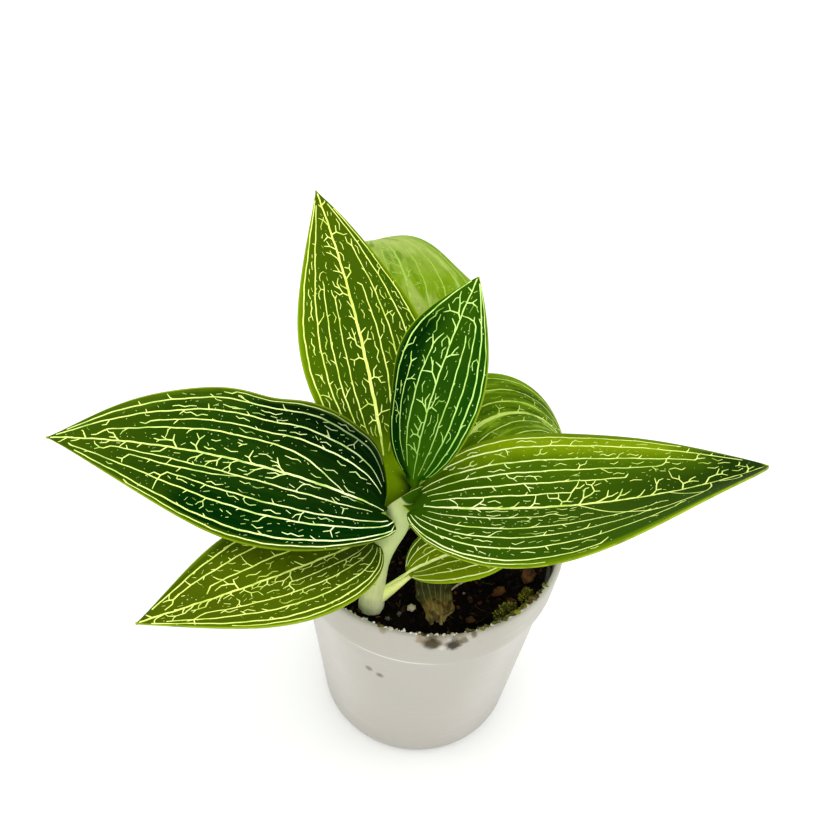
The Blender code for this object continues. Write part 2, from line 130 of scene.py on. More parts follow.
def smooth(piece, degrees):
    pick(piece)
    bpy.ops.object.shade_smooth_by_angle(angle=math.radians(degrees))


def applyModifier(piece, kind, **settings):
    pick(piece)
    modifier = piece.modifiers.new("change", kind)
    for key, value in settings.items():
        setattr(modifier, key, value)
    bpy.ops.object.modifier_apply(modifier=modifier.name)


def mapLeaf(piece, places):
    # each point's share along and across the leaf, for the materials to read
    layer = piece.data.uv_layers.new(name="leafMap")
    for loop in piece.data.loops:
        layer.data[loop.index].uv = places[loop.vertex_index]


def paint(piece, *finishes):
    for finish in finishes:
        piece.data.materials.append(finish)


def mount(piece, slot, *nodes):
    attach(piece, "root")
    if nodes:
        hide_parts(*nodes)


def combine(operation, swapped=False):
    # a method that joins two signals or numbers in one maths node
    def apply(self, other):
        first, second = (other, self) if swapped else (self, other)
        return self.finish.node("ShaderNodeMath", {"operation": operation}, {0: first, 1: second})
    return apply


class Signal:
    # a node's output that takes part in ordinary sums
    def __init__(self, finish, socket):
        self.finish = finish
        self.socket = socket

    def __abs__(self):
        return self.finish.node("ShaderNodeMath", {"operation": "ABSOLUTE"}, {0: self})

    __add__, __radd__ = combine("ADD"), combine("ADD", True)
    __sub__, __rsub__ = combine("SUBTRACT"), combine("SUBTRACT", True)
    __mul__, __rmul__ = combine("MULTIPLY"), combine("MULTIPLY", True)
    __truediv__, __rtruediv__ = combine("DIVIDE"), combine("DIVIDE", True)
    __pow__, __rpow__ = combine("POWER"), combine("POWER", True)


class Finish:
    # one material: its tree, its shader, and short ways to add nodes. colours are hex codes
    def __init__(self, name, roughness=0.5, specular=0.5, subsurface=0.0, radius=1.0):
        self.material = bpy.data.materials.new(name)
        self.material.use_nodes = True
        self.tree = self.material.node_tree
        self.shader = self.tree.nodes["Principled BSDF"]
        self.set(Roughness=roughness, Specular_IOR_Level=specular, Subsurface_Weight=subsurface,
                 Subsurface_Scale=radius * mm)

    def node(self, kind, settings=None, inputs=None, output=0):
        made = self.tree.nodes.new(kind)
        for key, value in (settings or {}).items():
            if key == "stops":
                while len(made.color_ramp.elements) < len(value):
                    made.color_ramp.elements.new(0.5)
                for element, (place, code) in zip(made.color_ramp.elements, value):
                    element.position = place
                    element.color = tone(code)
            else:
                setattr(made, key, value)
        for key, value in (inputs or {}).items():
            self.feed(made.inputs[key], value)
        return Signal(self, made.outputs[output])

    def feed(self, socket, value):
        if isinstance(value, Signal):
            self.tree.links.new(value.socket, socket)
        else:
            socket.default_value = tone(value) if isinstance(value, str) else value

    def set(self, **inputs):
        for key, value in inputs.items():
            self.feed(self.shader.inputs[key.replace("_", " ")], value)
        return self.material

    def mix(self, share, first, second):
        return self.node("ShaderNodeMix", {"data_type": "RGBA"}, {0: share, 6: first, 7: second}, 2)

    def ramp(self, value, *stops):
        return self.node("ShaderNodeValToRGB", {"stops": stops}, {0: value})

    def ease(self, value, low, high, start=0.0, end=1.0):
        settings = {"interpolation_type": "SMOOTHSTEP"}
        return self.node("ShaderNodeMapRange", settings, {0: value, 1: low, 2: high, 3: start, 4: end})

    def place(self):
        return self.node("ShaderNodeTexCoord", output="Object")

    def part(self, at, axis):
        # the x, y or z of a vector, by its number
        return self.node("ShaderNodeSeparateXYZ", None, {0: at}, axis)

    def away(self, at, place):
        # how far a point lies from a place given in millimetres
        inputs = {0: at, 1: [c * mm for c in place]}
        return self.node("ShaderNodeVectorMath", {"operation": "DISTANCE"}, inputs, 1)

    def onLeaf(self):
        # the leaf's own map, and its shares along and across
        spot = self.node("ShaderNodeUVMap", {"uv_map": "leafMap"})
        return spot, self.part(spot, 0), self.part(spot, 1)

    def stretched(self, scale, turn=(0, 0, 0), at=None):
        inputs = {"Vector": at or self.place(), "Scale": scale, "Rotation": turn}
        return self.node("ShaderNodeMapping", None, inputs)

    def noise(self, scale, detail=3.0, rough=0.55, at=None):
        inputs = {"Vector": at or self.place(), "Scale": scale, "Detail": detail, "Roughness": rough}
        return self.node("ShaderNodeTexNoise", None, inputs)

    def bump(self, height, strength, distance):
        inputs = {"Height": height, "Strength": strength, "Distance": distance}
        return self.node("ShaderNodeBump", None, inputs)


# the camera's place in millimetres, its angles in degrees and its lens
view = {"place": (0.7, -144.1, 221.7), "down": 41.5, "aside": -1.96, "roll": 4.64, "lens": 38.57}
# each lamp's place, the height it looks at, its size and its power
lamps = {
    "topLight": ((0.05, 0.15, 0.8), 0.05, 0.7, 1.5),
    "leftLight": ((-0.7, -0.1, 0.5), 0.07, 0.6, 1.0),
    "rightLight": ((0.75, 0.1, 0.45), 0.07, 0.6, 0.85),
    "frontLight": ((0.05, -0.75, 0.4), 0.07, 0.6, 2.2),
}


def buildCamera():
    down, aside, roll = (math.radians(view[key]) for key in ("down", "aside", "roll"))
    ahead = Vector((math.sin(aside) * math.cos(down), math.cos(aside) * math.cos(down), -math.sin(down)))
    level = Vector((math.cos(aside), -math.sin(aside), 0.0))
    above = level.cross(ahead)
    right = level * math.cos(roll) + above * math.sin(roll)
    up = above * math.cos(roll) - level * math.sin(roll)
    data = bpy.data.cameras.new("camera")
    data.lens = view["lens"]
    data.sensor_width = 36
    data.clip_start = 0.01
    camera = addObject("camera", data)
    turn = Matrix((right, up, -ahead)).transposed()
    camera.matrix_world = Matrix.Translation(Vector(view["place"]) * mm) @ turn.to_4x4()
    bpy.context.scene.camera = camera


def buildStudio():
    bpy.ops.mesh.primitive_plane_add(size=6.0, location=(0, 0, cadBounds[0][2] - 0.00005))
    floor = bpy.context.object
    floor.name = "floor"
    finish = Finish("paleFloor", roughness=0.75, specular=0.2)
    paint(floor, finish.set(Base_Color=finish.mix(finish.noise(9.0, 2.0), "f4f5f3", "fbfcfb")))
    world = bpy.data.worlds.new("studio")
    bpy.context.scene.world = world
    world.use_nodes = True
    world.node_tree.nodes["Background"].inputs[0].default_value = (1, 1, 1, 1)
    for name, (place, aim, size, power) in lamps.items():
        data = bpy.data.lights.new(name, "AREA")
        data.shape = "DISK"
        data.size = size
        data.energy = power
        lamp = addObject(name, data)
        lamp.location = place
        lamp.rotation_euler = (Vector((0, 0, aim)) - Vector(place)).to_track_quat("-Z", "Y").to_euler()
    bpy.context.scene.view_settings.view_transform = "Standard"


print("camera, floor and light")
buildCamera()
buildStudio()


# the stem's line in millimetres, shared with every leaf that clasps it. radii are (height, radius),
# and scars are the heights of the old leaf rings
stem = {
    "foot": (-11.8, -19.8, 44.0), "soil": (-11.2, -20.1, 55.0), "crown": (-6.0, -14.0, 84.0),
    "bow": 1.1, "start": 44.4, "tip": 80.6, "step": 0.35, "scars": (58.6, 64.0, 70.0), "sides": 36,
    "radii": ((44.0, 2.4), (45.2, 3.0), (56.0, 2.95), (60.0, 2.5), (66.0, 2.3), (76.0, 2.25), (84.0, 2.3)),
}


def stemPoint(height):
    low, middle, top = Vector(stem["foot"]), Vector(stem["soil"]), Vector(stem["crown"])
    if height < middle.z:
        return low.lerp(middle, (height - low.z) / (middle.z - low.z))
    share = (height - middle.z) / (top.z - middle.z)
    return middle.lerp(top, share) - Vector((stem["bow"] * math.sin(math.pi * share), 0, 0))


def stemAxes():
    # the way the stem leans, and two ways square to it
    axis = (Vector(stem["crown"]) - Vector(stem["soil"])).normalized()
    east = (Vector((1, 0, 0)) - axis * axis.x).normalized()
    return axis, east, axis.cross(east)


def stemRadius(height):
    for (low, first), (high, second) in zip(stem["radii"], stem["radii"][1:]):
        if height <= high:
            return first + (second - first) * max(0.0, (height - low) / (high - low))
    return stem["radii"][-1][1]


# base, compass heading and its sweep, slope at the base (rise) and tip (droop), roll (bank) at both,
# outline exponents (shoulder, taper), how much broader the left half is (skew), how far each side of
# the base reaches back (lobe), V angle at both ends (fold), fall of the edges (curl), edge waves
# (cycles, then size and phase of each side), half width of the stalk, and the sheath: foot height,
# extra radius, half wrap at foot and mouth, heading, spread. some leaves also have dents in the outline
# (side, u, reach, swell), the power of the lobe (ear), a shift of the base (nudge), the stalk's bow
# (slack) and the lip of the sheath (flare)
leaves = {
    "leaf_left_big": dict(
        base=(-9.8, -15.3, 82.1), heading=179.0, sweep=0.0, rise=23.5, droop=-9.0,
        bank=(-26.3, -21.5), length=72.2, width=33.8, shoulder=0.60, taper=1.12, skew=-0.02,
        lobe=(6.0, 0.3), ear=0.5, fold=(13.0, 13.0), curl=5.6, waves=(1.31, 2.0, 0.16, 3.0, 0.18),
        stalk=0.9, sheath=(73.5, 0.0, 62.0, 42.0, 190.0, 1.0), flare=0.3, nudge=(0.0, -2.2, 1.8),
        dents=((-1, 0.39, 0.07, -0.05), (-1, 0.55, 0.09, 0.035), (-1, 0.07, 0.06, 0.10))),
    "leaf_right_big": dict(
        base=(-3.3, -16.1, 84.7), heading=-14.0, sweep=42.0, rise=15.5, droop=5.0,
        bank=(13.0, -30.0), length=74.1, width=37.9, shoulder=0.59, taper=0.8, skew=0.05,
        lobe=(3.0, 1.7), fold=(12.6, 23.5), curl=-12.0, waves=(1.0, -1.4, -0.17, -2.5, -0.03),
        stalk=2.0, sheath=(80.8, -0.2, 70.0, 52.0, 308.0, 1.0), flare=0.1, nudge=(-0.1, -0.3, 0.1)),
    "leaf_upper_left": dict(
        base=(-11.5, -1.1, 83.0), heading=113.8, sweep=9.0, rise=51.9, droop=34.0,
        bank=(1.7, 4.2), length=61.9, width=29.3, shoulder=0.61, taper=1.08, skew=-0.02,
        lobe=(0.0, 0.0), fold=(12.0, 12.0), curl=7.0, waves=(1.26, 1.4, 0.08, 1.8, -0.18),
        stalk=4.4, sheath=(77.2, 1.6, 80.0, 74.0, 70.0, 0.8)),
    "leaf_centre": dict(
        base=(-5.6, -12.1, 89.2), heading=66.0, sweep=-4.0, rise=66.0, droop=48.0,
        bank=(-10.6, -2.3), length=43.4, width=22.3, shoulder=0.69, taper=0.96, skew=-0.01,
        lobe=(-0.4, -0.4), fold=(21.0, 12.0), curl=9.4, waves=(1.18, -3.0, -0.12, 0.66, 0.1),
        stalk=1.9, sheath=(82.8, -0.5, 60.0, 30.0, 345.0, 0.4), flare=0.0, slack=0.5,
        nudge=(1.5, -0.5, -1.0)),
    "leaf_lower_left": dict(
        base=(-12.6, -16.8, 73.1), heading=224.7, sweep=-10.0, rise=9.8, droop=7.0,
        bank=(-4.3, -1.4), length=51.5, width=28.9, shoulder=0.51, taper=1.08, skew=-0.06,
        lobe=(1.3, 1.3), fold=(21.0, 14.0), curl=4.9, waves=(1.18, 0.7, 0.11, -1.0, -0.13),
        stalk=1.9, sheath=(61.6, -0.1, 52.0, 40.0, 225.0, 1.0), flare=0.2),
    "leaf_low_small": dict(
        base=(-3.7, -16.8, 63.1), heading=30.0, sweep=-11.0, rise=21.0, droop=-29.0,
        bank=(2.0, 4.0), length=29.2, width=16.6, shoulder=0.63, taper=0.88, skew=0.0,
        lobe=(0.0, 0.0), fold=(21.0, 12.0), curl=7.8, waves=(1.2, 0.3, 0.0, 0.3, 0.05),
        stalk=0.4, sheath=(57.0, -1.2, 24.0, 16.0, 330.0, 0.6), flare=0.0, slack=0.45),
    "leaf_back": dict(
        base=(-5.1, 8.5, 86.7), heading=96.1, sweep=19.0, rise=41.2, droop=-33.0,
        bank=(-0.9, 0.7), length=75.4, width=33.9, shoulder=0.58, taper=0.81, skew=0.0,
        lobe=(1.9, 1.9), fold=(21.0, 5.0), curl=9.4, waves=(1.50, 0.0, 0.0, 2.9, -0.17),
        stalk=1.9, sheath=(69.9, 0.0, 98.0, 40.0, 88.0, 0.55)),
    "leaf_right_back": dict(
        base=(-0.1, 1.6, 70.1), heading=70.5, sweep=-64.0, rise=46.0, droop=-77.0,
        bank=(7.3, 7.8), length=61.4, width=28.5, shoulder=0.57, taper=0.89, skew=0.0,
        lobe=(1.5, 1.5), fold=(22.0, 7.0), curl=6.0, waves=(1.18, -1.0, -0.06, 0.0, 0.0),
        stalk=1.9, sheath=(65.9, 0.0, 60.0, 40.0, 72.0, 1.0), flare=0.3),
}

# colours and veins of each leaf. tones: blade at its base, middle and tip; shades: patches as
# (colour, side, how far in, from u, to u, strength); rim and lip: the band outside the last rib and the
# very edge; stalk and petiole: the stalk from above and below; merge: where the blade turns into the
# stalk's tone; hollow: painted shade in the corner of the sheath; stripes: dark, light and how many; veins:
# bright
# and faint; pale: how far they bleach at the base; dim: side, tone and reach of those in shade; midrib:
# width at base and tip, and its start; left and right: the ribs of each half (right is like left where it
# isn't given) as (v, start, end, and where
# a late one branches off), where an end below 0.9 forks; arches: (side, start, span, peak, turn); net and
# lanes: how much fine work there is, over all and between ribs; join: how often branches meet; lean: the
# slant of branches; quiet: the side with no branches and from where
looks = {
    "leaf_left_big": dict(
        seed=3, tones=("031c01", "183802", "385002"), join=0.35, pale=0.5, dim=(-1, "3c5434", 0.42),
        # painted shade: the first patch darkens the upper base to near black, and dim darkens the veins there
        # to match
        shades=(("001401", -1, 0.95, -0.2, 0.42, 1.0), ("002401", 1, 0.95, -0.2, 0.6, 1.0),
                ("46600a", -1, 0.35, 0.6, 1.2, 0.6)),
        rim="4c6404", petiole="b4c08a", stalk="1e3c04", veins=("e6fa88", "b4d468"),
        midrib=(0.55, 0.34, 0.6), net=1.0,
        left=((0.21, 0.05, 0.80), (0.33, 0.42, 0.74, 0.22), (0.45, 0.02, 0.62), (0.61, 0.01, 0.92),
              (0.85, 0.006, 0.90), (0.94, 0.012, 0.72)),
        right=((0.32, 0.12, 0.82), (0.46, 0.025, 0.68), (0.62, 0.03, 0.97), (0.82, 0.03, 0.94),
               (0.94, 0.05, 0.50))),
    "leaf_right_big": dict(
        seed=11, tones=("284802", "304c02", "1a3202"), join=0.35, pale=0.4, lean=0.8, quiet=(-1, 0.46),
        arches=((-1, 0.45, 0.30, 0.62, 0.62), (-1, 0.70, 0.12, 0.55, 1.0), (-1, 0.84, 0.07, 0.5, 1.0)),
        shades=(("4c6c02", 1, 0.9, 0.1, 0.85, 0.7), ("748c02", 1, 0.5, 0.12, 0.8, 1.0),
                ("2c4c02", -1, 0.4, 0.2, 0.8, 0.5)),
        # the dark petiole tone is partly painted shade at the foot of the crown
        rim="5c7804", lip="708812", petiole="304c06", stalk="3c5804", veins=("e6f884", "bcd860"),
        midrib=(0.70, 0.32, 2.2), net=1.0,
        left=((0.16, 0.05, 0.44), (0.30, 0.04, 0.60), (0.45, 0.03, 0.70), (0.60, 0.02, 0.82),
              (0.80, 0.015, 0.95), (0.93, 0.025, 0.80)),
        right=((0.20, 0.05, 0.36), (0.40, 0.04, 0.62), (0.56, 0.025, 0.58), (0.73, 0.015, 0.66),
               (0.90, 0.015, 0.48), (0.96, 0.03, 0.36))),
    "leaf_upper_left": dict(
        seed=5, tones=("304a02", "365202", "445a02"), join=0.3, merge=0.16, hollow="011c01",
        shades=(("486402", 1, 0.5, 0.2, 1.0, 0.7), ("2c4e02", -1, 0.4, 0.0, 0.7, 0.5)),
        rim="6c8c04", petiole="64800c", stalk="6c8a02", veins=("ecfa80", "c4dc50"),
        midrib=(0.85, 0.36, 0.6), net=1.1,
        left=((0.31, 0.03, 0.56), (0.50, 0.02, 0.64), (0.68, 0.01, 0.94), (0.90, 0.01, 0.96)),
        right=((0.28, 0.02, 0.62), (0.47, 0.03, 0.75), (0.70, 0.02, 0.94), (0.89, 0.02, 0.92))),
    "leaf_centre": dict(
        seed=8, tones=("2e5402", "1a4202", "2c5002"), join=0.3, pale=-0.75,
        shades=(("002201", 1, 0.9, -0.2, 0.8, 1.0), ("0c3c02", -1, 0.6, -0.1, 0.9, 0.8)),
        rim="245004", petiole="64800c", stalk="3c5c04", veins=("c8ee80", "94c44c"),
        midrib=(0.46, 0.32, 0.5), net=0.9,
        left=((0.35, 0.06, 0.62), (0.62, 0.08, 0.50), (0.86, 0.03, 0.97)),
        right=((0.38, 0.04, 0.70), (0.60, 0.06, 0.76), (0.80, 0.05, 0.97), (0.93, 0.06, 0.97))),
    "leaf_lower_left": dict(
        seed=17, tones=("344a02", "485a02", "465602"), join=0.9, lanes=0.5,
        shades=(("3c5202", 1, 0.4, 0.0, 1.0, 0.5), ("364c02", -1, 0.4, 0.0, 1.0, 0.5)),
        rim="5c7404", petiole="b4c08a", stalk="6c8434", veins=("e8f880", "c0d850"),
        midrib=(0.62, 0.40, -3.0), net=1.5,
        left=((0.25, 0.03, 0.42), (0.46, 0.02, 0.76), (0.68, 0.02, 0.90), (0.86, 0.015, 0.95),
              (0.94, 0.03, 0.7)),
        right=((0.28, 0.05, 0.70), (0.54, 0.03, 0.82), (0.78, 0.02, 0.93), (0.92, 0.03, 0.45))),
    "leaf_low_small": dict(
        seed=21, tones=("6c8202", "526802", "526802"), join=0.4,
        shades=(("7c9004", -1, 0.5, -0.1, 1.0, 0.5), ("385402", 1, 0.6, 0.0, 1.0, 0.8)),
        rim="7c9c08", petiole="d8e890", stalk="e8f890", veins=("f2fca0", "d0e070"),
        midrib=(0.95, 0.4, -2.0), net=0.7,
        left=((0.30, 0.05, 0.70), (0.60, 0.03, 0.97), (0.88, 0.02, 0.97))),
    "leaf_back": dict(
        # painted sheen: the pale tip tone and the light stripes stand for light glancing off the arched blade
        seed=29, tones=("426a02", "749410", "a8b664"), join=0.3, stripes=("557c04", "a6ba5c", 3.5),
        shades=(("2c5002", 1, 0.7, -0.1, 0.42, 0.8), ("6c9010", -1, 0.4, 0.0, 1.0, 0.5)),
        rim="7c9c24", petiole="9cac64", stalk="6c8c1c", veins=("9cbe48", "8cac3c"),
        midrib=(0.8, 0.3, 0.0), net=0.06,
        left=((0.25, 0.05, 0.74), (0.50, 0.04, 0.97), (0.72, 0.04, 0.97), (0.88, 0.03, 0.97))),
    "leaf_right_back": dict(
        seed=33, tones=("385402", "4c6a02", "567402"), join=0.2, stripes=("203c02", "88a820", 6.0),
        shades=(("5c7c02", 1, 0.3, 0.0, 1.0, 0.6), ("5c7c02", -1, 0.3, 0.0, 1.0, 0.6)),
        rim="648c02", petiole="a4b470", stalk="5c8004", veins=("b8d060", "80a020"),
        midrib=(1.3, 0.45, 0.0), net=0.15,
        left=((0.27, 0.06, 0.84), (0.55, 0.04, 0.97), (0.84, 0.03, 0.97))),
}

# millimetres, except for steps and the powers. foot and mouth are the sheath's lower and upper parts,
# tuck is how far its foot narrows, grain the mesh's size, raise the height of a vein
blade = {
    "thickness": 0.4, "tipHalf": 0.2, "foot": 1.2, "mouth": 2.2, "tuck": 0.45, "flare": 1.2, "slack": 1.0,
    "ear": 1.2, "steps": 60, "edgeSteps": 90, "grain": 0.95, "cell": 0.42, "raise": 0.06, "merge": 0.035,
}
# widths in millimetres, and how close two veins may come (apart)
vein = {"rib": 0.32, "branch": 0.28, "dash": 0.23, "dot": 0.19, "apart": 0.62, "midribSteps": 80}


def blendPair(pair, share):
    return pair[0] + (pair[1] - pair[0]) * share


def bladeLine(leaf):
    # the midrib as (point, along, left, up) at even steps
    line = []
    point = Vector(leaf["base"])
    stride = leaf["length"] / blade["steps"]
    for index in range(blade["steps"] + 1):
        u = index / blade["steps"]
        slope = math.radians(leaf["rise"] + (leaf["droop"] - leaf["rise"]) * u)
        compass = math.radians(leaf["heading"] + leaf["sweep"] * u)
        roll = math.radians(blendPair(leaf["bank"], u))
        flat = math.cos(slope)
        along = Vector((flat * math.cos(compass), flat * math.sin(compass), math.sin(slope)))
        level = Vector((-math.sin(compass), math.cos(compass), 0.0))
        left = level * math.cos(roll) + along.cross(level) * math.sin(roll)
        if index:
            point = point + (line[-1][1] + along) * 0.5 * stride
        line.append((point, along, left, along.cross(left)))
    return line


def bladeHalf(leaf, u):
    # half width of the blade, eased into the stalk
    u = min(max(u, 0.0), 1.0)
    a, b = leaf["shoulder"], leaf["taper"]
    widest = a / (a + b)
    outline = leaf["width"] / 2 * (u / widest) ** a * ((1 - u) / (1 - widest)) ** b
    stalk = leaf["stalk"] * max(0.0, 1 - 4 * u)
    return max((outline ** 5 + stalk ** 5) ** 0.2, blade["tipHalf"])


class LeafSheet:
    # the leaf as one sheet: s in millimetres from the foot of the sheath (below zero) to the tip,
    # v across from -1, right, to 1, left
    def __init__(self, leaf):
        self.leaf = leaf
        self.line = bladeLine(leaf)
        self.foot, extra, wrap, narrow, heading, spread = leaf["sheath"]
        self.wrap, self.narrow, self.heading = (math.radians(a) for a in (wrap, narrow, heading))
        self.flare = leaf.get("flare", blade["flare"])
        self.slack = leaf.get("slack", blade["slack"])
        self.radius = stemRadius(self.foot) + extra
        axis, self.east, self.north = stemAxes()
        self.reach = (self.bladePoint(0.0, 0.0) - self.clasp(0.0, 0.0)).length
        self.leave = axis * 0.7 + Vector((math.cos(self.heading), math.sin(self.heading), 0)) * spread
        self.start = -self.reach - blade["mouth"] - blade["foot"]

    def opening(self, below):
        # the sheath's half wrap and radius, at a distance below its mouth
        share = max(0.0, 1 - below / blade["mouth"])
        return self.wrap + (self.narrow - self.wrap) * share, self.radius + self.flare * share ** 2

    def clasp(self, below, v):
        half, radius = self.opening(below)
        radius -= blade["tuck"] * max(0.0, below - blade["mouth"]) / blade["foot"]
        height = self.foot + blade["foot"] + blade["mouth"] - below
        angle = self.heading + v * half
        return stemPoint(height) + (self.east * math.cos(angle) + self.north * math.sin(angle)) * radius

    def claspHalf(self, below):
        half, radius = self.opening(below)
        return half * radius

    def bladePoint(self, u, v):
        leaf = self.leaf
        spot = u * blade["steps"]
        index = min(int(spot), blade["steps"] - 1)
        pair = zip(self.line[index], self.line[index + 1])
        centre, along, left, up = (a.lerp(b, spot - index) for a, b in pair)
        side = math.copysign(1.0, v)
        reach = abs(v)
        fold = math.radians(blendPair(leaf["fold"], u))
        bend = fold + math.radians(leaf["curl"])
        bend = math.copysign(max(abs(bend), 0.001), bend)
        across = (math.sin(fold) - math.sin(fold - bend * reach)) / bend
        lift = (math.cos(fold - bend * reach) - math.cos(fold)) / bend
        half = bladeHalf(leaf, u)
        width = half * (1 + leaf["skew"] * side)
        for where, at, spread, swell in leaf.get("dents", ()):
            width *= 1 + (swell * math.exp(-((u - at) / spread) ** 2) if where == side else 0.0)
        cycles, leftWave, leftPhase, rightWave, rightPhase = leaf["waves"]
        wave, phase = (leftWave, leftPhase) if side > 0 else (rightWave, rightPhase)
        ripple = wave * math.sin(2 * math.pi * (cycles * u + phase)) * reach ** 2 * half * 2 / leaf["width"]
        lobe = leaf["lobe"][0 if side > 0 else 1]
        back = lobe * reach ** leaf.get("ear", blade["ear"]) * (1 - u) ** 12 * (1 - math.exp(-u / 0.005))
        nudge = Vector(leaf.get("nudge", (0, 0, 0))) * (1 - u) ** 4
        return centre + left * (across * width * side) + up * (lift * width + ripple) - along * back + nudge

    def point(self, s, v):
        if s >= 0:
            return self.bladePoint(min(s / self.leaf["length"], 1.0), v)
        if s <= -self.reach:
            return self.clasp(-self.reach - s, v)
        t = 1 + s / self.reach
        start, finish = self.clasp(0.0, v), self.bladePoint(0.0, v)
        leave, arrive = self.leave * self.reach * self.slack, self.line[0][1] * self.reach * self.slack
        return (start * (2 * t ** 3 - 3 * t ** 2 + 1) + finish * (3 * t ** 2 - 2 * t ** 3)
                + leave * (t ** 3 - 2 * t ** 2 + t) + arrive * (t ** 3 - t ** 2))

    def half(self, s):
        if s >= 0:
            return bladeHalf(self.leaf, s / self.leaf["length"])
        if s <= -self.reach:
            return self.claspHalf(-self.reach - s)
        t = 1 + s / self.reach
        ease = t * t * (3 - 2 * t)
        return self.claspHalf(0.0) * (1 - ease) + bladeHalf(self.leaf, 0.0) * ease


class VeinNet:
    # vein paths on the flattened leaf, each a list of (x, y, half width)
    def __init__(self, sheet, look):
        self.sheet = sheet
        self.look = look
        self.length = sheet.leaf["length"]
        self.chance = random.Random(look["seed"])
        self.quietSide, self.quietFrom = look.get("quiet", (0, 1.0))
        self.paths = []
        self.faint = []
        self.marks = {}
        self.drawMidrib()
        halves = ((1, look["left"]), (-1, look.get("right", look["left"])))
        for side, ribs in halves:
            for rib in ribs:
                self.drawRib(side, *rib)
        for arch in look.get("arches", ()):
            self.drawArch(*arch)
        for side, ribs in halves:
            self.drawBranches(side)
        for side, ribs in halves:
            self.drawSpurs(side, ribs)
            self.drawLanes(side, (0.0,) + tuple(sorted(rib[0] for rib in ribs)) + (1.0,))

    def flat(self, u, v):
        return (u * self.length, v * self.sheet.half(u * self.length))

    def add(self, points, width, thin=0.55, start=1.0, faint=False):
        # keeps a path that tapers towards its end, and notes where it runs
        last = len(points) - 1
        if last < 1:
            return
        name = len(self.paths)
        widths = [width / 2 * (1 - (1 - thin) * (i / last) ** 1.6) * min(1.0, start + 0.06 * i)
                  for i in range(last + 1)]
        self.paths.append([(x, y, w) for (x, y), w in zip(points, widths)])
        self.faint.append(faint)
        for (x0, y0), (x1, y1) in zip(points, points[1:]):
            for t in (0.0, 0.5):
                x, y = x0 + (x1 - x0) * t, y0 + (y1 - y0) * t
                self.marks.setdefault((int(x // 1), int(y // 1)), []).append((x, y, name))

    def around(self, x, y):
        # the marks in the square millimetres about a place
        cx, cy = int(x // 1), int(y // 1)
        cells = ((cx + i, cy + j) for i in (-1, 0, 1) for j in (-1, 0, 1))
        return (mark for cell in cells for mark in self.marks.get(cell, ()))

    def nearest(self, x, y, apart, own=()):
        # the closest point of another vein within a distance, if there is one
        found = None
        for mx, my, name in self.around(x, y):
            gap = math.hypot(mx - x, my - y)
            if name not in own and gap < apart:
                apart, found = gap, (mx, my)
        return found

    def outside(self, x, y):
        return x < 1.0 or x > self.length * 0.97 or abs(y) > self.sheet.half(x) * 0.965 - 0.2

    def drawMidrib(self):
        broad, fine, start = self.look["midrib"]
        count = vein["midribSteps"]
        stations = [start + (self.length * 0.985 - start) * i / count for i in range(count + 1)]
        points = [(x, 0.06 * math.sin(x * 0.9) + 0.04 * math.sin(x * 2.3)) for x in stations]
        self.add(points, broad, fine / broad, 0.4)

    def drawRib(self, side, v, start, end, origin=0.0):
        # a rib that starts late leaves the midrib, or the rib at its origin, and eases out to v
        count = int((end - start) * self.length / 0.9)
        phase = self.chance.random() * 6
        late = max(0.0, min(1.0, (start - 0.07) / 0.04))
        points = []
        for i in range(count + 1):
            u = start + (end - start) * i / count
            ease = min(1.0, (u - start) / 0.26)
            x, y = self.flat(u, side * (v + (origin - v) * (1 - ease) ** 2 * late))
            calm = min(1.0, 5 * (1 - u))
            y += calm * (0.07 * math.sin(0.62 * x + phase) + 0.04 * math.sin(1.7 * x + 2 * phase))
            points.append((x, y))
        self.add(points, vein["rib"] * (0.75 if v > 0.91 else 1.0), 0.65, 0.35)
        if end < 0.9:
            own = (len(self.paths) - 1,)
            (x0, y0), (x1, y1) = points[-2:]
            heading = math.atan2(y1 - y0, x1 - x0)
            for turn in (0.5, -0.5):
                pieces = self.chance.randint(1, 3)
                lean = heading + turn * self.chance.uniform(0.7, 1.1)
                self.grow(x1, y1, lean, pieces, vein["branch"], 1, own)

    def drawArch(self, side, start, span, peak, turn):
        # a long vein that bows away from the midrib; with a full turn it comes back to it
        points = []
        steps = 30
        for i in range(steps + 1):
            t = i / steps
            v = peak * math.sin(math.pi * turn * t) + 0.012 * math.sin(17 * t + 9 * start) * min(1.0, 4 * t)
            points.append(self.flat(start + span * t, side * v))
        self.add(points, vein["branch"] * 1.1, 0.75)

    def wander(self, x, y, heading, pieces, own, scale):
        # a kinked path that leans back towards the tip, and stops short of other veins or joins one
        points = [(x, y)]
        bend = self.chance.choice((-1, 1))
        for _ in range(pieces):
            stretch = scale * self.chance.uniform(0.8, 1.9)
            turn = heading + bend * self.chance.uniform(0.08, 0.5)
            bend = -bend
            for _ in range(4):
                x += stretch / 4 * math.cos(turn)
                y += stretch / 4 * math.sin(turn)
                if self.outside(x, y):
                    return points
                near = self.nearest(x, y, vein["apart"], own if len(points) < 6 else ())
                if near:
                    if self.chance.random() < self.look["join"] and len(points) > 3:
                        points.append(near)
                    return points
                points.append((x, y))
            heading *= 0.8
        return points

    def grow(self, x, y, heading, pieces, width, forks, own, faint=False, scale=1.0):
        # a wandering path and its forks
        points = self.wander(x, y, heading, pieces, own, scale)
        if len(points) < 4:
            return
        self.add(points, width, 0.55, 1.0 if own else 0.5, faint)
        name = len(self.paths) - 1
        joints = range(4, len(points) - 1, 4)
        if forks and joints:
            for i in self.chance.sample(joints, min(forks, len(joints))):
                fx, fy = points[i]
                before = math.atan2(fy - points[i - 1][1], fx - points[i - 1][0])
                after = math.atan2(points[i + 1][1] - fy, points[i + 1][0] - fx)
                side = 1 if before > after else -1
                turn = before + side * self.chance.uniform(0.35, 0.8)
                count = self.chance.randint(1, 2)
                self.grow(fx, fy, turn, count, width * 0.9, forks - 1, (name,), faint, scale)

    def drawBranches(self, side):
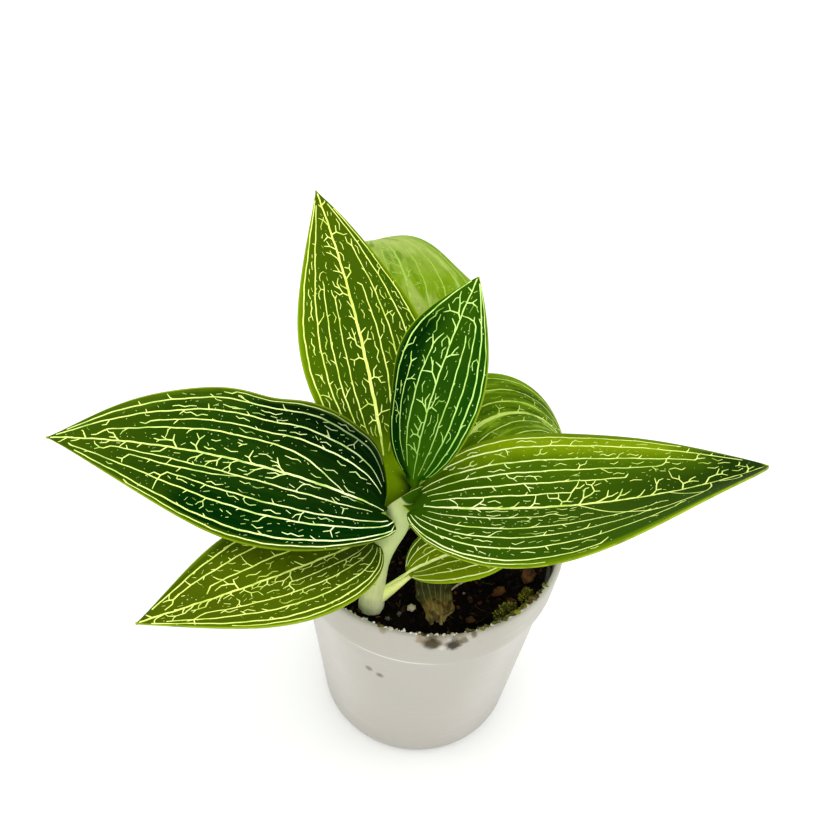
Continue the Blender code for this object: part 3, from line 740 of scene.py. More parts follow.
        # forked veins that leave the midrib at a slant
        x = 0.12 * self.length + self.chance.uniform(0, 3)
        while x < (self.quietFrom if side == self.quietSide else 0.955) * self.length:
            u = x / self.length
            lean = side * self.chance.uniform(0.45, 0.85) * self.look.get("lean", 1.0)
            pieces = self.chance.randint(1, 3) + int(1.6 * u + 0.5 * self.look["net"])
            self.grow(x, 0.0, lean, pieces, vein["branch"] * 1.05, 2, (0,))
            x += self.chance.uniform(1.9, 4.4) * (1.15 - 0.4 * u) / max(0.6, self.look["net"])

    def drawSpurs(self, side, ribs):
        # short stubs that leave the ribs
        for v, start, end, *_ in ribs:
            x = start * self.length + self.chance.uniform(3, 9)
            while x < min(end, 0.93) * self.length and v < 0.9:
                y = side * v * self.sheet.half(x)
                near = [(abs(mx - x) + abs(my - y), mx, my, name) for mx, my, name in self.around(x, y)]
                if near and min(near)[0] < 0.5:
                    _, rx, ry, name = min(near)
                    lean = self.chance.choice((-1, 1)) * self.chance.uniform(0.5, 0.9)
                    pieces = self.chance.choice((1, 1, 1, 2, 3))
                    self.grow(rx, ry, lean, pieces, vein["dash"], 1, (name,), False, 0.75)
                x += self.chance.uniform(3.5, 9.0) / max(0.4, self.look["net"])

    def drawLanes(self, side, lanes):
        # broken kinked lines, dashes and dots that run between the ribs
        net = self.look["net"] * self.look.get("lanes", 1.0)
        for low, high in zip(lanes, lanes[1:]):
            if high > 0.97:
                continue
            for track in (0.34, 0.68) if high - low > 0.19 else (0.5,):
                x = self.length * self.chance.uniform(0.06, 0.14)
                while x < 0.93 * self.length:
                    v = low + (high - low) * (track + self.chance.uniform(-0.13, 0.13))
                    y = side * v * self.sheet.half(x)
                    ahead = side * v * self.sheet.half(min(x + 2.0, self.length * 0.99))
                    kind = self.chance.random()
                    if self.quietSide == side and x > self.quietFrom * self.length:
                        break
                    if not self.outside(x, y) and not self.nearest(x, y, 0.5):
                        self.drawMark(side, x, y, math.atan2(ahead - y, 2.0), kind, net)
                    x += self.chance.uniform(0.8, 3.0) / (0.4 + 0.6 * net)

    def drawMark(self, side, x, y, heading, kind, net):
        if kind < 0.4 * net:
            pieces = self.chance.choice((1, 2, 2, 3, 4))
            forks = 1 if self.chance.random() < 0.3 else 0
            self.grow(x, y, heading, pieces, vein["dash"] * 1.15, forks, (), kind < 0.1, 0.85)
        elif kind < 0.72:
            tilt = heading + side * self.chance.uniform(-0.2, 0.85)
            width = vein["dash"] * self.chance.uniform(0.6, 1.0)
            self.grow(x, y, tilt, 1, width, 0, (), kind > 0.5, 0.55)
        else:
            size = self.chance.uniform(0.06, 0.22)
            turn = self.chance.uniform(-1, 1)
            end = (x + size * math.cos(turn), y + size * math.sin(turn))
            self.add([(x, y), end], vein["dot"] * self.chance.uniform(0.6, 1.0), 0.8, 1.0, True)


def addSide(points, faces, corners):
    # a side joins only when it turns one way all round; a crossed one goes in as its sound triangles
    spots = [points[i] for i in corners]
    count = len(spots)
    turns = [(spots[(i + 1) % count] - spots[i]).cross(spots[(i + 2) % count] - spots[(i + 1) % count])
             for i in range(count)]
    if min(turns) > 1e-4:
        faces.append(corners)
    elif max(turns) < -1e-4:
        faces.append(corners[::-1])
    elif count == 4:
        addSide(points, faces, corners[:3])
        addSide(points, faces, [corners[0], corners[2], corners[3]])


def stripFaces(path, points, heights, faces):
    # one vein as a strip with a raised centre line, pointed at both ends
    first = len(points)
    count = len(path)
    for i, (x, y, half) in enumerate(path):
        ax, ay, _ = path[max(i - 1, 0)]
        bx, by, _ = path[min(i + 1, count - 1)]
        dx, dy = bx - ax, by - ay
        size = math.hypot(dx, dy) or 1.0
        nx, ny = -dy / size * half, dx / size * half
        points += [Vector((x + nx, y + ny)), Vector((x, y)), Vector((x - nx, y - ny))]
        heights += [0.0, 1.0, 0.0]
        if i:
            a, b = first + 3 * i - 3, first + 3 * i
            addSide(points, faces, [a, a + 1, b + 1, b])
            addSide(points, faces, [a + 1, a + 2, b + 2, b + 1])
    for i, other, a in ((0, 1, first), (count - 1, count - 2, first + 3 * count - 3)):
        x, y, half = path[i]
        ox, oy, _ = path[other]
        size = math.hypot(x - ox, y - oy) or 1.0
        points.append(Vector((x + (x - ox) / size * half, y + (y - oy) / size * half)))
        heights.append(0.0)
        end = len(points) - 1
        addSide(points, faces, [a, a + 1, end])
        addSide(points, faces, [a + 1, a + 2, end])


def leafOutline(sheet):
    # where the outline has its points: along the sheath, the stalk and the blade
    stations = [sheet.start + i * 0.6 for i in range(6)]
    count = max(3, int(sheet.reach / 1.2))
    stations += [-sheet.reach + sheet.reach * i / count for i in range(count)]
    steps = blade["edgeSteps"]
    turns = [math.pi * (i / steps) ** 1.25 for i in range(steps + 1)]
    return (sorted(set(round(s, 3) for s in stations if s < -0.05))
            + [sheet.leaf["length"] * (0.5 - 0.5 * math.cos(turn)) for turn in turns])


def fillPoints(sheet, taken):
    # extra points that let the flat net follow the bends of the leaf
    cell = blade["cell"]
    busy = set()
    for point in taken:
        cx, cy = int(point[0] // cell), int(point[1] // cell)
        busy.update((cx + i, cy + j) for i in (-1, 0, 1) for j in (-1, 0, 1))
    made = []
    rows = int((sheet.leaf["length"] - sheet.start) / blade["grain"])
    for row in range(1, rows):
        s = sheet.start + (sheet.leaf["length"] - sheet.start) * row / rows
        half = sheet.half(s)
        columns = max(2, round(2 * half / blade["grain"]))
        shift = 0.5 if row % 2 else 0.0
        for column in range(1, columns):
            y = half * (2 * (column + shift * 0.5) / columns - 1)
            if abs(y) < half - 0.3 and (int(s // cell), int(y // cell)) not in busy:
                made.append(Vector((s, y)))
    return made


def cutNet(sheet, net):
    # the flattened leaf as triangles with their material, each point with its share of a vein's height
    stations = leafOutline(sheet)
    edge = [Vector((s, -sheet.half(s))) for s in stations]
    edge += [Vector((s, sheet.half(s))) for s in reversed(stations)]
    points, heights = list(edge), [0.0] * len(edge)
    faces, inks = [list(range(len(edge)))], [0]
    for path, faint in zip(net.paths, net.faint):
        stripFaces(path, points, heights, faces)
        inks += [1 if faint else 2] * (len(faces) - len(inks))
    points += fillPoints(sheet, points)
    heights += [0.0] * (len(points) - len(heights))
    boxes = []
    for corners in faces:
        along, across = zip(*(points[i] for i in corners))
        boxes.append((min(along), max(along), min(across), max(across)))
    flat, _, triangles, origins, _, owners = delaunay_2d_cdt(points, [], faces, 1, 1e-4, True)
    lifts = [max((heights[i] for i in origin), default=0.4) for origin in origins]
    cut = []
    for triangle, owner in zip(triangles, owners):
        if 0 in owner:
            x, y = (sum(flat[i][axis] for i in triangle) / 3 for axis in (0, 1))
            held = [inks[i] for i in owner if boxes[i][0] < x < boxes[i][1] and boxes[i][2] < y < boxes[i][3]]
            cut.append((triangle, (0, 2, 1)[max(held, default=0)]))
    return flat, lifts, cut


def bendNet(sheet, flat, lifts, cut):
    # the triangles laid on the leaf's surface, with points that all but touch merged
    model = bmesh.new()
    lift = model.verts.layers.float.new("lift")
    where = model.verts.layers.float_vector.new("where")
    for place, height in zip(flat, lifts):
        v = max(-1.0, min(1.0, place.y / sheet.half(place.x)))
        vert = model.verts.new(sheet.point(place.x, v))
        vert[lift] = height
        vert[where] = (place.x / sheet.leaf["length"], v, 0.0)
    model.verts.ensure_lookup_table()
    for triangle, ink in cut:
        try:
            model.faces.new([model.verts[i] for i in triangle]).material_index = ink
        except ValueError:
            continue
    bmesh.ops.delete(model, geom=[vert for vert in model.verts if not vert.link_faces], context="VERTS")
    bmesh.ops.remove_doubles(model, verts=model.verts, dist=blade["merge"])
    bmesh.ops.dissolve_degenerate(model, edges=model.edges, dist=0.01)
    bmesh.ops.triangulate(model, faces=[face for face in model.faces if len(face.verts) > 3])
    model.normal_update()
    model.verts.index_update()
    return model


def buildLeaf(name):
    # an upper skin with raised veins, a plain lower one, and the edge between them
    sheet = LeafSheet(leaves[name])
    model = bendNet(sheet, *cutNet(sheet, VeinNet(sheet, looks[name])))
    lift, where = model.verts.layers.float["lift"], model.verts.layers.float_vector["where"]
    deep = blade["thickness"] / 2
    above = [(vert.co + vert.normal * (deep + blade["raise"] * vert[lift])) * mm for vert in model.verts]
    below = [(vert.co - vert.normal * deep) * mm for vert in model.verts]
    places = [tuple(vert[where])[:2] for vert in model.verts] * 2
    count = len(above)
    faces, inks = [], []
    for face in model.faces:
        corners = [vert.index for vert in face.verts]
        faces += [corners, [i + count for i in reversed(corners)]]
        inks += [face.material_index, face.material_index + 3]
    for edge in model.edges:
        if len(edge.link_faces) == 1:
            loop = edge.link_loops[0]
            first, second = loop.vert.index, loop.link_loop_next.vert.index
            faces.append([second, first, first + count, second + count])
            inks.append(6)
    model.free()
    piece = newMesh("visual_" + name, above + below, faces, inks)
    piece.data.polygons.foreach_set("use_smooth", [True] * len(faces))
    mapLeaf(piece, places)
    return piece


def finishLeaf(name):
    look = looks[name]
    length, half = leaves[name]["length"], leaves[name]["width"] / 2
    top = Finish(name + "Blade", specular=0.01)
    spot, u, v = top.onLeaf()
    streak = top.noise(1.0, 4.0, 0.6, top.stretched((length * 0.12, half * 0.9, 1), at=spot))
    cloud = top.noise(90, 2.0) - 0.5
    where = u + cloud * 0.35
    colour = top.ramp(where, *zip((0.0, 0.5, 0.95), look["tones"]))
    for code, side, deep, start, end, strength in look["shades"]:
        across = top.ease(v * side + cloud * 0.25, 1.0 - deep, 1.0 - deep * 0.35)
        along = top.ease(where, start - 0.12, start + 0.12) * top.ease(where, end + 0.12, end - 0.12)
        colour = top.mix(across * along * strength, colour, code)
    # on leaf_back the light stripes are a painted sheen
    if "stripes" in look:
        dark, light, fineness = look["stripes"]
        stripe = top.noise(1.0, at=top.stretched((3.5, fineness, 1), at=spot))
        colour = top.mix(top.ease(stripe, 0.5, 0.36) * 0.75, colour, dark)
        colour = top.mix(top.ease(stripe, 0.52, 0.68) * 0.75, colour, light)
    reach = abs(v)
    fade = top.ease(u, 0.05, 0.5, 0.3, 1.0)
    colour = top.mix(top.ease(reach, 0.89, 0.96) * fade * 0.85, colour, look["rim"])
    colour = top.mix(top.ease(streak, 0.4, 0.8) * 0.06, colour, "4c7c04")
    colour = top.mix(top.ease(reach, 0.97, 0.985) * fade * 0.7, colour, look.get("lip", "98b01c"))
    colour = top.mix(top.ease(u, look.get("merge", 0.02), -0.05), colour, look["stalk"])
    # painted shade: the hollow tone darkens the corner of the sheath
    if "hollow" in look:
        corner = top.ease(v + (u + 0.14) * 3.0, 0.45, -0.2) * top.ease(u, -0.04, -0.1)
        colour = top.mix(corner, colour, look["hollow"])
    colour = top.mix(top.ease(u, 0.985, 0.998), colour, "8ca014")
    speck = top.node("ShaderNodeTexVoronoi", None, {"Vector": top.place(), "Scale": 900.0})
    dust = top.ease(speck, 0.16, 0.08) * top.ease(top.noise(260, 2.0), 0.5, 0.6)
    colour = top.mix(dust * 0.7, colour, "cfe494")
    fine = top.noise(1500, 2.0)
    relief = top.bump(streak + fine * 0.3, 0.35, 0.00015)
    surface = top.set(Base_Color=colour, Roughness=0.42 + fine * 0.16, Normal=relief)

    strong, weak = look["veins"]
    pale, stalk, petiole = look.get("pale", 0.08), look["stalk"], look["petiole"]
    ink = finishVein(name + "Vein", strong, weak, stalk, pale, look.get("dim"))
    faint = finishVein(name + "FineVein", weak, look["rim"], stalk, pale / 2)
    back = finishVein(name + "Under", "6c8a34", "86a04c", petiole)
    line = finishVein(name + "UnderVein", "a8bf6c", "94ae58", petiole)
    lip = finishVein(name + "Edge", "90a41c", "6c8410", petiole)
    return surface, ink, faint, back, line, line, lip


def finishVein(name, first, second, stalk, pale=0.0, dim=None):
    # two clouded tones along the blade, and another on the stalk
    veins = Finish(name, specular=0.04)
    _, u, v = veins.onLeaf()
    foot = "f4fbe0" if pale > 0 else "4c8420"
    colour = veins.mix(veins.ease(u, 0.6, 0.0) * abs(pale), first, foot)
    colour = veins.mix(veins.ease(veins.noise(300, 2.0), 0.45, 0.7), colour, second)
    if dim:
        side, code, far = dim
        shadow = veins.ease(v * side, 0.35, 0.85) * veins.ease(u, far, far * 0.35)
        colour = veins.mix(shadow * 0.8, colour, code)
    green = veins.mix(veins.noise(900, 2.0) * 0.25, stalk, "7c9040")
    return veins.set(Base_Color=veins.mix(veins.ease(u, 0.0, -0.05), colour, green))


def dressLeaf(name, slot):
    piece = buildLeaf(name)
    paint(piece, *finishLeaf(name))
    low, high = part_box(name)
    tip = max(piece.data.vertices, key=lambda vert: (vert.co - Vector(leaves[name]["base"]) * mm).length).co
    inside = all(low[i] - 2 * mm < tip[i] < high[i] + 2 * mm for i in range(3))
    print(name, len(piece.data.polygons), "faces, tip inside the frame's box:", inside)
    mount(piece, slot, name)


# the pot, in millimetres: its outside from the foot up, then its inside from the rim down, and its
# marks as (place, reach, raggedness, colour, strength)
pot = {
    "outside": ((22.4, 0.0), (24.3, 0.35), (25.05, 2.2), (30.1, 48.0), (30.6, 49.6), (31.2, 50.3),
                (31.6, 52.0), (32.35, 60.4), (32.1, 61.3), (31.5, 61.5)),
    "inside": ((31.0, 61.3), (30.8, 60.6), (30.5, 51.2), (29.6, 50.2), (28.8, 48.6),
               (23.3, 2.6), (22.6, 1.55), (21.4, 1.4)),
    "height": 61.5, "sides": 180, "round": 0.45, "holes": 6, "holeCircle": 15.5, "holeRadius": 2.4,
    "marks": (
        ((1.8, -32.0, 61.6), 2.3, 1.4, "786848", 0.5), ((5.2, -31.6, 61.4), 2.2, 1.4, "8a7c62", 0.5),
        ((8.8, -31.0, 61.2), 2.3, 1.4, "786848", 0.5), ((3.2, -32.1, 59.6), 2.9, 2.2, "342a00", 1.0),
        ((7.9, -31.2, 59.0), 2.7, 2.4, "241c00", 1.0), ((9.8, -30.8, 59.9), 1.5, 1.6, "4c3c10", 0.7),
        ((5.6, -31.5, 58.0), 1.3, 0.8, "d4d0c4", 0.4), ((-10.3, -27.2, 40.7), 1.35, 0.5, "6a6052", 0.8),
        ((-7.7, -27.9, 39.5), 1.3, 0.5, "645a4a", 0.8), ((0.5, -31.9, 60.6), 1.3, 1.5, "7a6644", 0.6),
        ((-7.5, -31.2, 61.3), 1.2, 1.4, "7a6a4c", 0.6), ((24.4, 19.0, 60.8), 1.6, 1.8, "6a5636", 0.7),
        ((-30.4, 9.0, 60.8), 1.3, 1.5, "6a5636", 0.7), ((12.0, -29.6, 61.2), 1.1, 1.2, "5b5230", 0.8)),
}


def smoothLine(corners, reach):
    # rounds the corners of a profile with short arcs
    line = [Vector(corners[0])]
    for before, here, after in zip(corners, corners[1:], corners[2:]):
        before, here, after = Vector(before), Vector(here), Vector(after)
        back = min(0.45, reach / (here - before).length)
        forth = min(0.45, reach / (after - here).length)
        enter, leave = here.lerp(before, back), here.lerp(after, forth)
        for t in (0.0, 0.33, 0.67, 1.0):
            line.append(enter.lerp(here, t).lerp(here.lerp(leave, t), t))
    return line + [Vector(corners[-1])]


def drawUp(line):
    # pulls the selected disc up through the rings of a profile
    for (oldRadius, oldHeight), (radius, height) in zip(line, line[1:]):
        bpy.ops.mesh.extrude_region_move(TRANSFORM_OT_translate={"value": (0, 0, (height - oldHeight) * mm)})
        bpy.ops.transform.resize(value=(radius / oldRadius, radius / oldRadius, 1), center_override=(0, 0, 0))


def finishPot():
    plastic = Finish("frostedPot", specular=0.2, subsurface=0.06)
    at = plastic.place()
    x, y, height = (plastic.part(at, axis) for axis in range(3))
    cloud = plastic.noise(38, 3.0)
    fine = plastic.noise(520, 3.0)
    drag = plastic.noise(1.0, 3.0, 0.6, plastic.stretched((60, 60, 900)))
    rise = height / (pot["height"] * mm) + (cloud - 0.5) * 0.2
    colour = plastic.ramp(rise, (0.0, "a4a099"), (0.35, "b3afa8"), (0.78, "bab7b0"), (0.9, "b0ada3"),
                          (1.0, "b2afa4"))
    colour = plastic.mix(plastic.ease(drag, 0.55, 0.8) * 0.25, colour, "dfddd8")
    colour = plastic.mix(plastic.ease(cloud, 0.55, 0.8) * 0.25, colour, "b9b3a8")
    # painted shade: the front of the pot is darkened
    colour = plastic.mix(plastic.ease(y, -20.5 * mm, -28.5 * mm) * 0.75, colour, "a29e94")
    for place, reach, ragged, code, strength in pot["marks"]:
        gap = plastic.away(at, place) + (plastic.noise(700, 3.0) - 0.5) * (ragged * mm)
        colour = plastic.mix(plastic.ease(gap, reach * mm, reach * 0.35 * mm) * strength, colour, code)
    # painted highlight: a pale line along the ledge under the rim, on the front left
    ledgeHighlight = plastic.ease(height, 49.3 * mm, 50.0 * mm) * plastic.ease(height, 51.2 * mm, 50.4 * mm)
    front = plastic.ease(y, -26.5 * mm, -29.5 * mm) * plastic.ease(x, 8 * mm, 0)
    colour = plastic.mix(ledgeHighlight * front * 0.6, colour, "f2f2f0")
    # the inner wall above the soil turns dark brown in blotches, darkest next to the soil
    inner = plastic.ease(height, 55.5 * mm, 58.8 * mm, 1.0, 0.0)
    inside = plastic.ease((x * x + y * y) ** 0.5, 31.15 * mm, 30.95 * mm)
    inside = inside * plastic.ease(height, 51.0 * mm, 51.4 * mm)
    innerBlotches = plastic.ease(plastic.noise(330, 4.0, 0.65), 0.62, 0.45)
    colour = plastic.mix(inner * inside * innerBlotches * 0.9, colour, "3a2a18")
    dust = plastic.ease(plastic.noise(900, 2.0), 0.7, 0.78) * plastic.ease(height, 50 * mm, 61 * mm)
    colour = plastic.mix(dust * 0.5, colour, "7d6a4c")
    relief = plastic.bump(fine + drag * 0.5, 0.2, 0.0001)
    return plastic.set(Base_Color=colour, Roughness=0.38 + fine * 0.16, Normal=relief)


def buildPot():
    line = smoothLine(pot["outside"] + pot["inside"], pot["round"])
    bpy.ops.object.select_all(action="DESELECT")
    bpy.ops.mesh.primitive_circle_add(vertices=pot["sides"], radius=line[0][0] * mm, fill_type="NGON",
                                      location=(0, 0, line[0][1] * mm))
    piece = bpy.context.object
    piece.name = "visual_pot"
    bpy.ops.object.transform_apply(location=True, rotation=True, scale=True)
    reshape(piece, drawUp, line=line)
    faceOutward(piece)
    for index in range(pot["holes"]):
        angle = 2 * math.pi * (index + 0.5) / pot["holes"]
        place = (pot["holeCircle"] * math.cos(angle) * mm, pot["holeCircle"] * math.sin(angle) * mm, 0.7 * mm)
        bpy.ops.mesh.primitive_cylinder_add(vertices=32, radius=pot["holeRadius"] * mm, depth=6 * mm,
                                            location=place)
        cutter = bpy.context.object
        applyModifier(piece, "BOOLEAN", operation="DIFFERENCE", solver="EXACT", object=cutter)
        bpy.data.objects.remove(cutter, do_unlink=True)
    smooth(piece, 40)
    paint(piece, finishPot())
    mount(piece, "pot_plastic", "pot")


# in millimetres. below is the soil's outline under its top, as (radius, height); hollow and clear are
# the dip about the stem and the ring kept free of crumbs, as (x, y, radius)
soil = {
    "level": 55.0, "swell": 0.7, "radius": 29.25, "rings": 84, "sides": 230,
    "below": ((29.25, 50.8), (28.0, 48.6), (22.4, 2.7), (21.4, 1.75)),
    "hollow": (-11.2, -20.6, 3.6), "clear": (-11.2, -20.1, 3.2),
    "crumbs": 900, "fibres": 150, "fibreRings": 6, "fibreReach": 29.0, "rimCrumbs": 240, "seed": 4,
}


def soilHeight(x, y):
    # the uneven top, which climbs a little where it meets the wall
    radius = math.hypot(x, y) / 32.5
    swell = math.sin(x / 5.3 + 0.6) * math.cos(y / 6.1 - 0.4) + 0.6 * math.sin((x - 1.7 * y) / 8.7)
    return soil["level"] + soil["swell"] * (0.6 * swell * (1 - 0.6 * radius ** 4) + 0.9 * radius ** 2)


def soilRough(x, y):
    # clods and pores on top of the soil's even swell
    place = Vector((x, y, 0.0))
    clods = noise.fractal(place * 0.42, 0.9, 2.1, 4)
    pores = abs(noise.noise(place * 1.3 + Vector((7, 3, 0)))) + 0.6 * abs(noise.noise(place * 3.1))
    left, front, reach = soil["hollow"]
    hollow = 1.2 * math.exp(-(math.hypot(x - left, y - front) / reach) ** 2)
    return soilHeight(x, y) + 0.75 * clods - 0.9 * pores + 0.35 - hollow


def buildSoil():
    rings, sides = soil["rings"], soil["sides"]
    points = [(0.0, 0.0, soilRough(0, 0) * mm)]
    top = tuple((soil["radius"] * ring / rings, None) for ring in range(1, rings + 1))
    for reach, depth in top + soil["below"]:
        for side in range(sides):
            angle = 2 * math.pi * side / sides
            x, y = reach * math.cos(angle), reach * math.sin(angle)
            points.append((x * mm, y * mm, (soilRough(x, y) if depth is None else depth) * mm))
    faces = [(0, 1 + side, 1 + (side + 1) % sides) for side in range(sides)]
    faces += gridFaces(rings + len(soil["below"]) - 1, sides, 1, flip=True)
    faces.append(tuple(range(len(points) - 1, len(points) - 1 - sides, -1)))
    piece = newMesh("visual_soil", points, faces)
    smooth(piece, 60)
    peat = Finish("darkPeat", roughness=0.95, specular=0.08)
    grain = peat.noise(900, 4.0, 0.65)
    patch = peat.noise(130, 3.0)
    colour = peat.mix(peat.ease(patch, 0.35, 0.7), "050302", "140d07")
    colour = peat.mix(peat.ease(grain, 0.58, 0.75) * 0.5, colour, "281c10")
    paint(piece, peat.set(Base_Color=colour, Normal=peat.bump(grain, 0.9, 0.0006)))
    mount(piece, "soil", "soil")


def plainEarth(name, first, second, scale=500, roughness=0.9):
    # a rough earthy finish between two tones
    earth = Finish(name, roughness=roughness, specular=0.1)
    patch = earth.noise(scale, 4.0, 0.6)
    colour = earth.mix(earth.ease(patch, 0.35, 0.65), first, second)
    return earth.set(Base_Color=colour, Normal=earth.bump(patch, 0.6, 0.0003))


def twoTone(name, roughness, specular, scale, first, second):
    # a plain skin that drifts between two tones
    skin = Finish(name, roughness=roughness, specular=specular)
    return skin.set(Base_Color=skin.mix(skin.noise(scale, 2.0), first, second))


def scatterSpots(chance, count, reach=28.6):
    spots = []
    left, front, clear = soil["clear"]
    while len(spots) < count:
        x, y = chance.uniform(-reach, reach), chance.uniform(-reach, reach)
        if math.hypot(x, y) < reach and math.hypot(x - left, y - front) > clear:
            spots.append((x, y))
    return spots


class Grit:
    # many small bent balls in one mesh, each with the number of its material
    def __init__(self, chance, least):
        self.chance = chance
        self.least = least
        self.points, self.faces, self.inks = [], [], []
        model = bmesh.new()
        bmesh.ops.create_icosphere(model, subdivisions=1, radius=1.0)
        self.corners = [vert.co.copy() for vert in model.verts]
        self.sides = [[vert.index for vert in face.verts] for face in model.faces]
        model.free()

    def stretch(self, size, *ranges):
        return Vector([self.chance.uniform(low, high) for low, high in ranges]) * size

    def add(self, centre, turn, stretch):
        first = len(self.points)
        for corner in self.corners:
            bent = corner * self.chance.uniform(self.least, 1.2)
            self.points.append((centre + turn @ Vector(a * b for a, b in zip(bent, stretch))) * mm)
        self.faces += [[first + i for i in side] for side in self.sides]

    def colour(self, ink):
        self.inks += [ink] * len(self.sides)

    def build(self, name, *finishes):
        piece = newMesh(name, self.points, self.faces, self.inks)
        paint(piece, *(plainEarth(*finish) for finish in finishes))
        mount(piece, "soil")


def buildCrumbs():
    chance = random.Random(soil["seed"])
    grit = Grit(chance, 0.72)
    for x, y in scatterSpots(chance, soil["crumbs"]):
        size = 0.22 + 0.75 * chance.random() ** 2.6
        rim = math.hypot(x, y) > 26.5
        kind = chance.random()
        ink = 0 if kind < 0.55 else 1 if kind < 0.8 else 2 if kind < 0.93 else 3
        if ink == 3 or (rim and kind > 0.86):
            size *= 0.55
        turn = Matrix.Rotation(chance.uniform(0, 6.28), 3, "Z")
        turn = turn @ Matrix.Rotation(chance.uniform(-0.6, 0.6), 3, "X")
        stretch = grit.stretch(size, (0.8, 1.7), (0.6, 1.0), (0.4, 0.8))
        grit.add(Vector((x, y, soilRough(x, y) + 0.25 * stretch.z)), turn, stretch)
        grit.colour(ink)
    grit.build("soilCrumbs", ("peatCrumb", "0c0704", "1c130b"), ("brownCrumb", "1c1108", "34220f"),
               ("rustCrumb", "40200c", "633814"), ("paleCrumb", "8a826c", "5c5440"))


def buildRimCrumbs():
    # pale and olive grains of the mix that stick to the rim's inner edge, most at the front
    chance = random.Random(soil["seed"] + 7)
    grit = Grit(chance, 0.75)
    for index in range(soil["rimCrumbs"]):
        mossy = index % 2
        angle = math.radians(chance.gauss(314, 9) if mossy else chance.gauss(273, 21))
        reach = chance.uniform(30.3, 31.2) if mossy else chance.uniform(30.65, 31.3)
        size = 0.2 + (0.6 if mossy else 0.4) * chance.random() ** 2
        centre = Vector((reach * math.cos(angle), reach * math.sin(angle), 61.35 if reach > 30.95 else 60.8))
        turn = Matrix.Rotation(chance.uniform(0, 6.28), 3, "Z")
        grit.add(centre, turn, grit.stretch(size, (0.8, 1.5), (0.7, 1.1), (0.5, 0.8)))
        grit.colour(chance.choice((1, 1, 2, 4) if mossy else (0, 0, 1, 2, 3)))
    grit.build("rimCrumbs", ("chalkGrain", "e0dcd0", "b8b2a0"), ("oliveGrain", "6c6c34", "4a4a20"),
               ("brownGrain", "5c4628", "36260f"), ("greyGrain", "a8a290", "8a8470"),
               ("mossGrain", "8a8a2c", "5c5c18"))


def buildFibres():
    chance = random.Random(soil["seed"] + 1)
    points, faces, inks = [], [], []
    rings, far = soil["fibreRings"], soil["fibreReach"]
    for x, y in scatterSpots(chance, soil["fibres"], 28.0):
        heading = chance.uniform(0, 6.28)
        stretch, width = chance.uniform(0.8, 3.4), chance.uniform(0.07, 0.17)
        curl, lift = chance.uniform(-0.9, 0.9), chance.uniform(0.1, 0.8)
        ink = chance.choice((0, 0, 1, 1, 2))
        first = len(points)
        for ring in range(rings):
            t = ring / (rings - 1)
            angle = heading + curl * t
            cx, cy = x + stretch * (t - 0.5) * math.cos(angle), y + stretch * (t - 0.5) * math.sin(angle)
            if math.hypot(cx, cy) > far:
                cx, cy = cx * far / math.hypot(cx, cy), cy * far / math.hypot(cx, cy)
            side = Vector((-math.sin(angle), math.cos(angle), 0)) * width * (1.1 - 0.7 * t)
            up = Vector((0, 0, width * 0.8))
            centre = Vector((cx, cy, soilRough(cx, cy) + lift * math.sin(math.pi * t) + 0.05))
            points += [(centre + side) * mm, (centre + up) * mm, (centre - side) * mm, (centre - up) * mm]
        last = len(points) - 4
        strand = gridFaces(rings - 1, 4, first)
        strand += [tuple(range(first + 3, first - 1, -1)), tuple(range(last, last + 4))]
        faces += strand
        inks += [ink] * len(strand)
    piece = newMesh("soilFibres", points, faces, inks)
    paint(piece, plainEarth("brownFibre", "2c1a0c", "482e14"), plainEarth("strawFibre", "5c4a26", "3c2e16"),
          plainEarth("oliveFibre", "3c3c16", "24260e"))
    faceOutward(piece)
    mount(piece, "soil")


def copyNode(node, name):
    # a merged copy of a frame node, ready to be shaped
    source = bpy.data.objects[node]
    data = source.data.copy()
    data.materials.clear()
    data.transform(source.matrix_world)
    piece = addObject(name, data)
    reshape(piece, bpy.ops.mesh.remove_doubles, threshold=0.00001)
    return piece


def roughen(piece, cuts, scale, strength, seed, flake=0.0):
    # subdivides a lump and pushes its skin in and out
    reshape(piece, bpy.ops.mesh.subdivide, number_cuts=cuts)
    shift = Vector((seed * 3.1, seed * 1.7, seed * 0.9))
    normals = [vert.normal.copy() for vert in piece.data.vertices]
    for vert, normal in zip(piece.data.vertices, normals):
        spot = vert.co / mm * scale + shift
        push = noise.fractal(spot, 0.8, 2.0, 3) * strength
        push -= flake * abs(noise.noise(Vector((spot.x * 0.5, spot.y * 0.5, spot.z * 5))))
        vert.co += normal * push * mm
    smooth(piece, 35)


def finishBark():
    bark = Finish("barkChip", roughness=0.85, specular=0.12)
    layers = bark.noise(1.0, 4.0, 0.6, bark.stretched((300, 300, 1500), (0.5, 0.3, 0)))
    patch = bark.noise(260, 3.0)
    colour = bark.mix(bark.ease(patch, 0.35, 0.65), "34200c", "583818")
    colour = bark.mix(bark.ease(layers, 0.5, 0.7), colour, "1c1006")
    return bark.set(Base_Color=colour, Normal=bark.bump(layers, 0.8, 0.0003))


def finishStone(name, dark, light):
    stone = Finish(name, roughness=0.8, specular=0.1)
    pit = stone.noise(1500, 3.0)
    return stone.set(Base_Color=stone.mix(pit, dark, light), Normal=stone.bump(pit, 0.8, 0.0003))


def buildLitter():
    chip = finishBark()
    cream = finishStone("creamPerlite", "8c8468", "d8d0b0")
    dusty = finishStone("dustyPerlite", "3c3a34", "6c6a60")
    lumps = [("bark_chip_%d" % i, "bark", chip, (5, 0.9, 0.32, i, 0.22)) for i in range(1, 10)]
    lumps += [("perlite_%d" % i, "perlite", dusty if i > 1 else cream, (4, 1.6, 0.16, i + 20))
              for i in range(1, 7)]
    for node, slot, finish, wear in lumps:
        piece = copyNode(node, "visual_" + node)
        roughen(piece, *wear)
        paint(piece, finish)
        mount(piece, slot, node)


# long and broad are a leaflet's size in millimetres
moss = {"tufts": 3, "leaflets": 260, "long": 0.75, "broad": 0.2, "seed": 9}


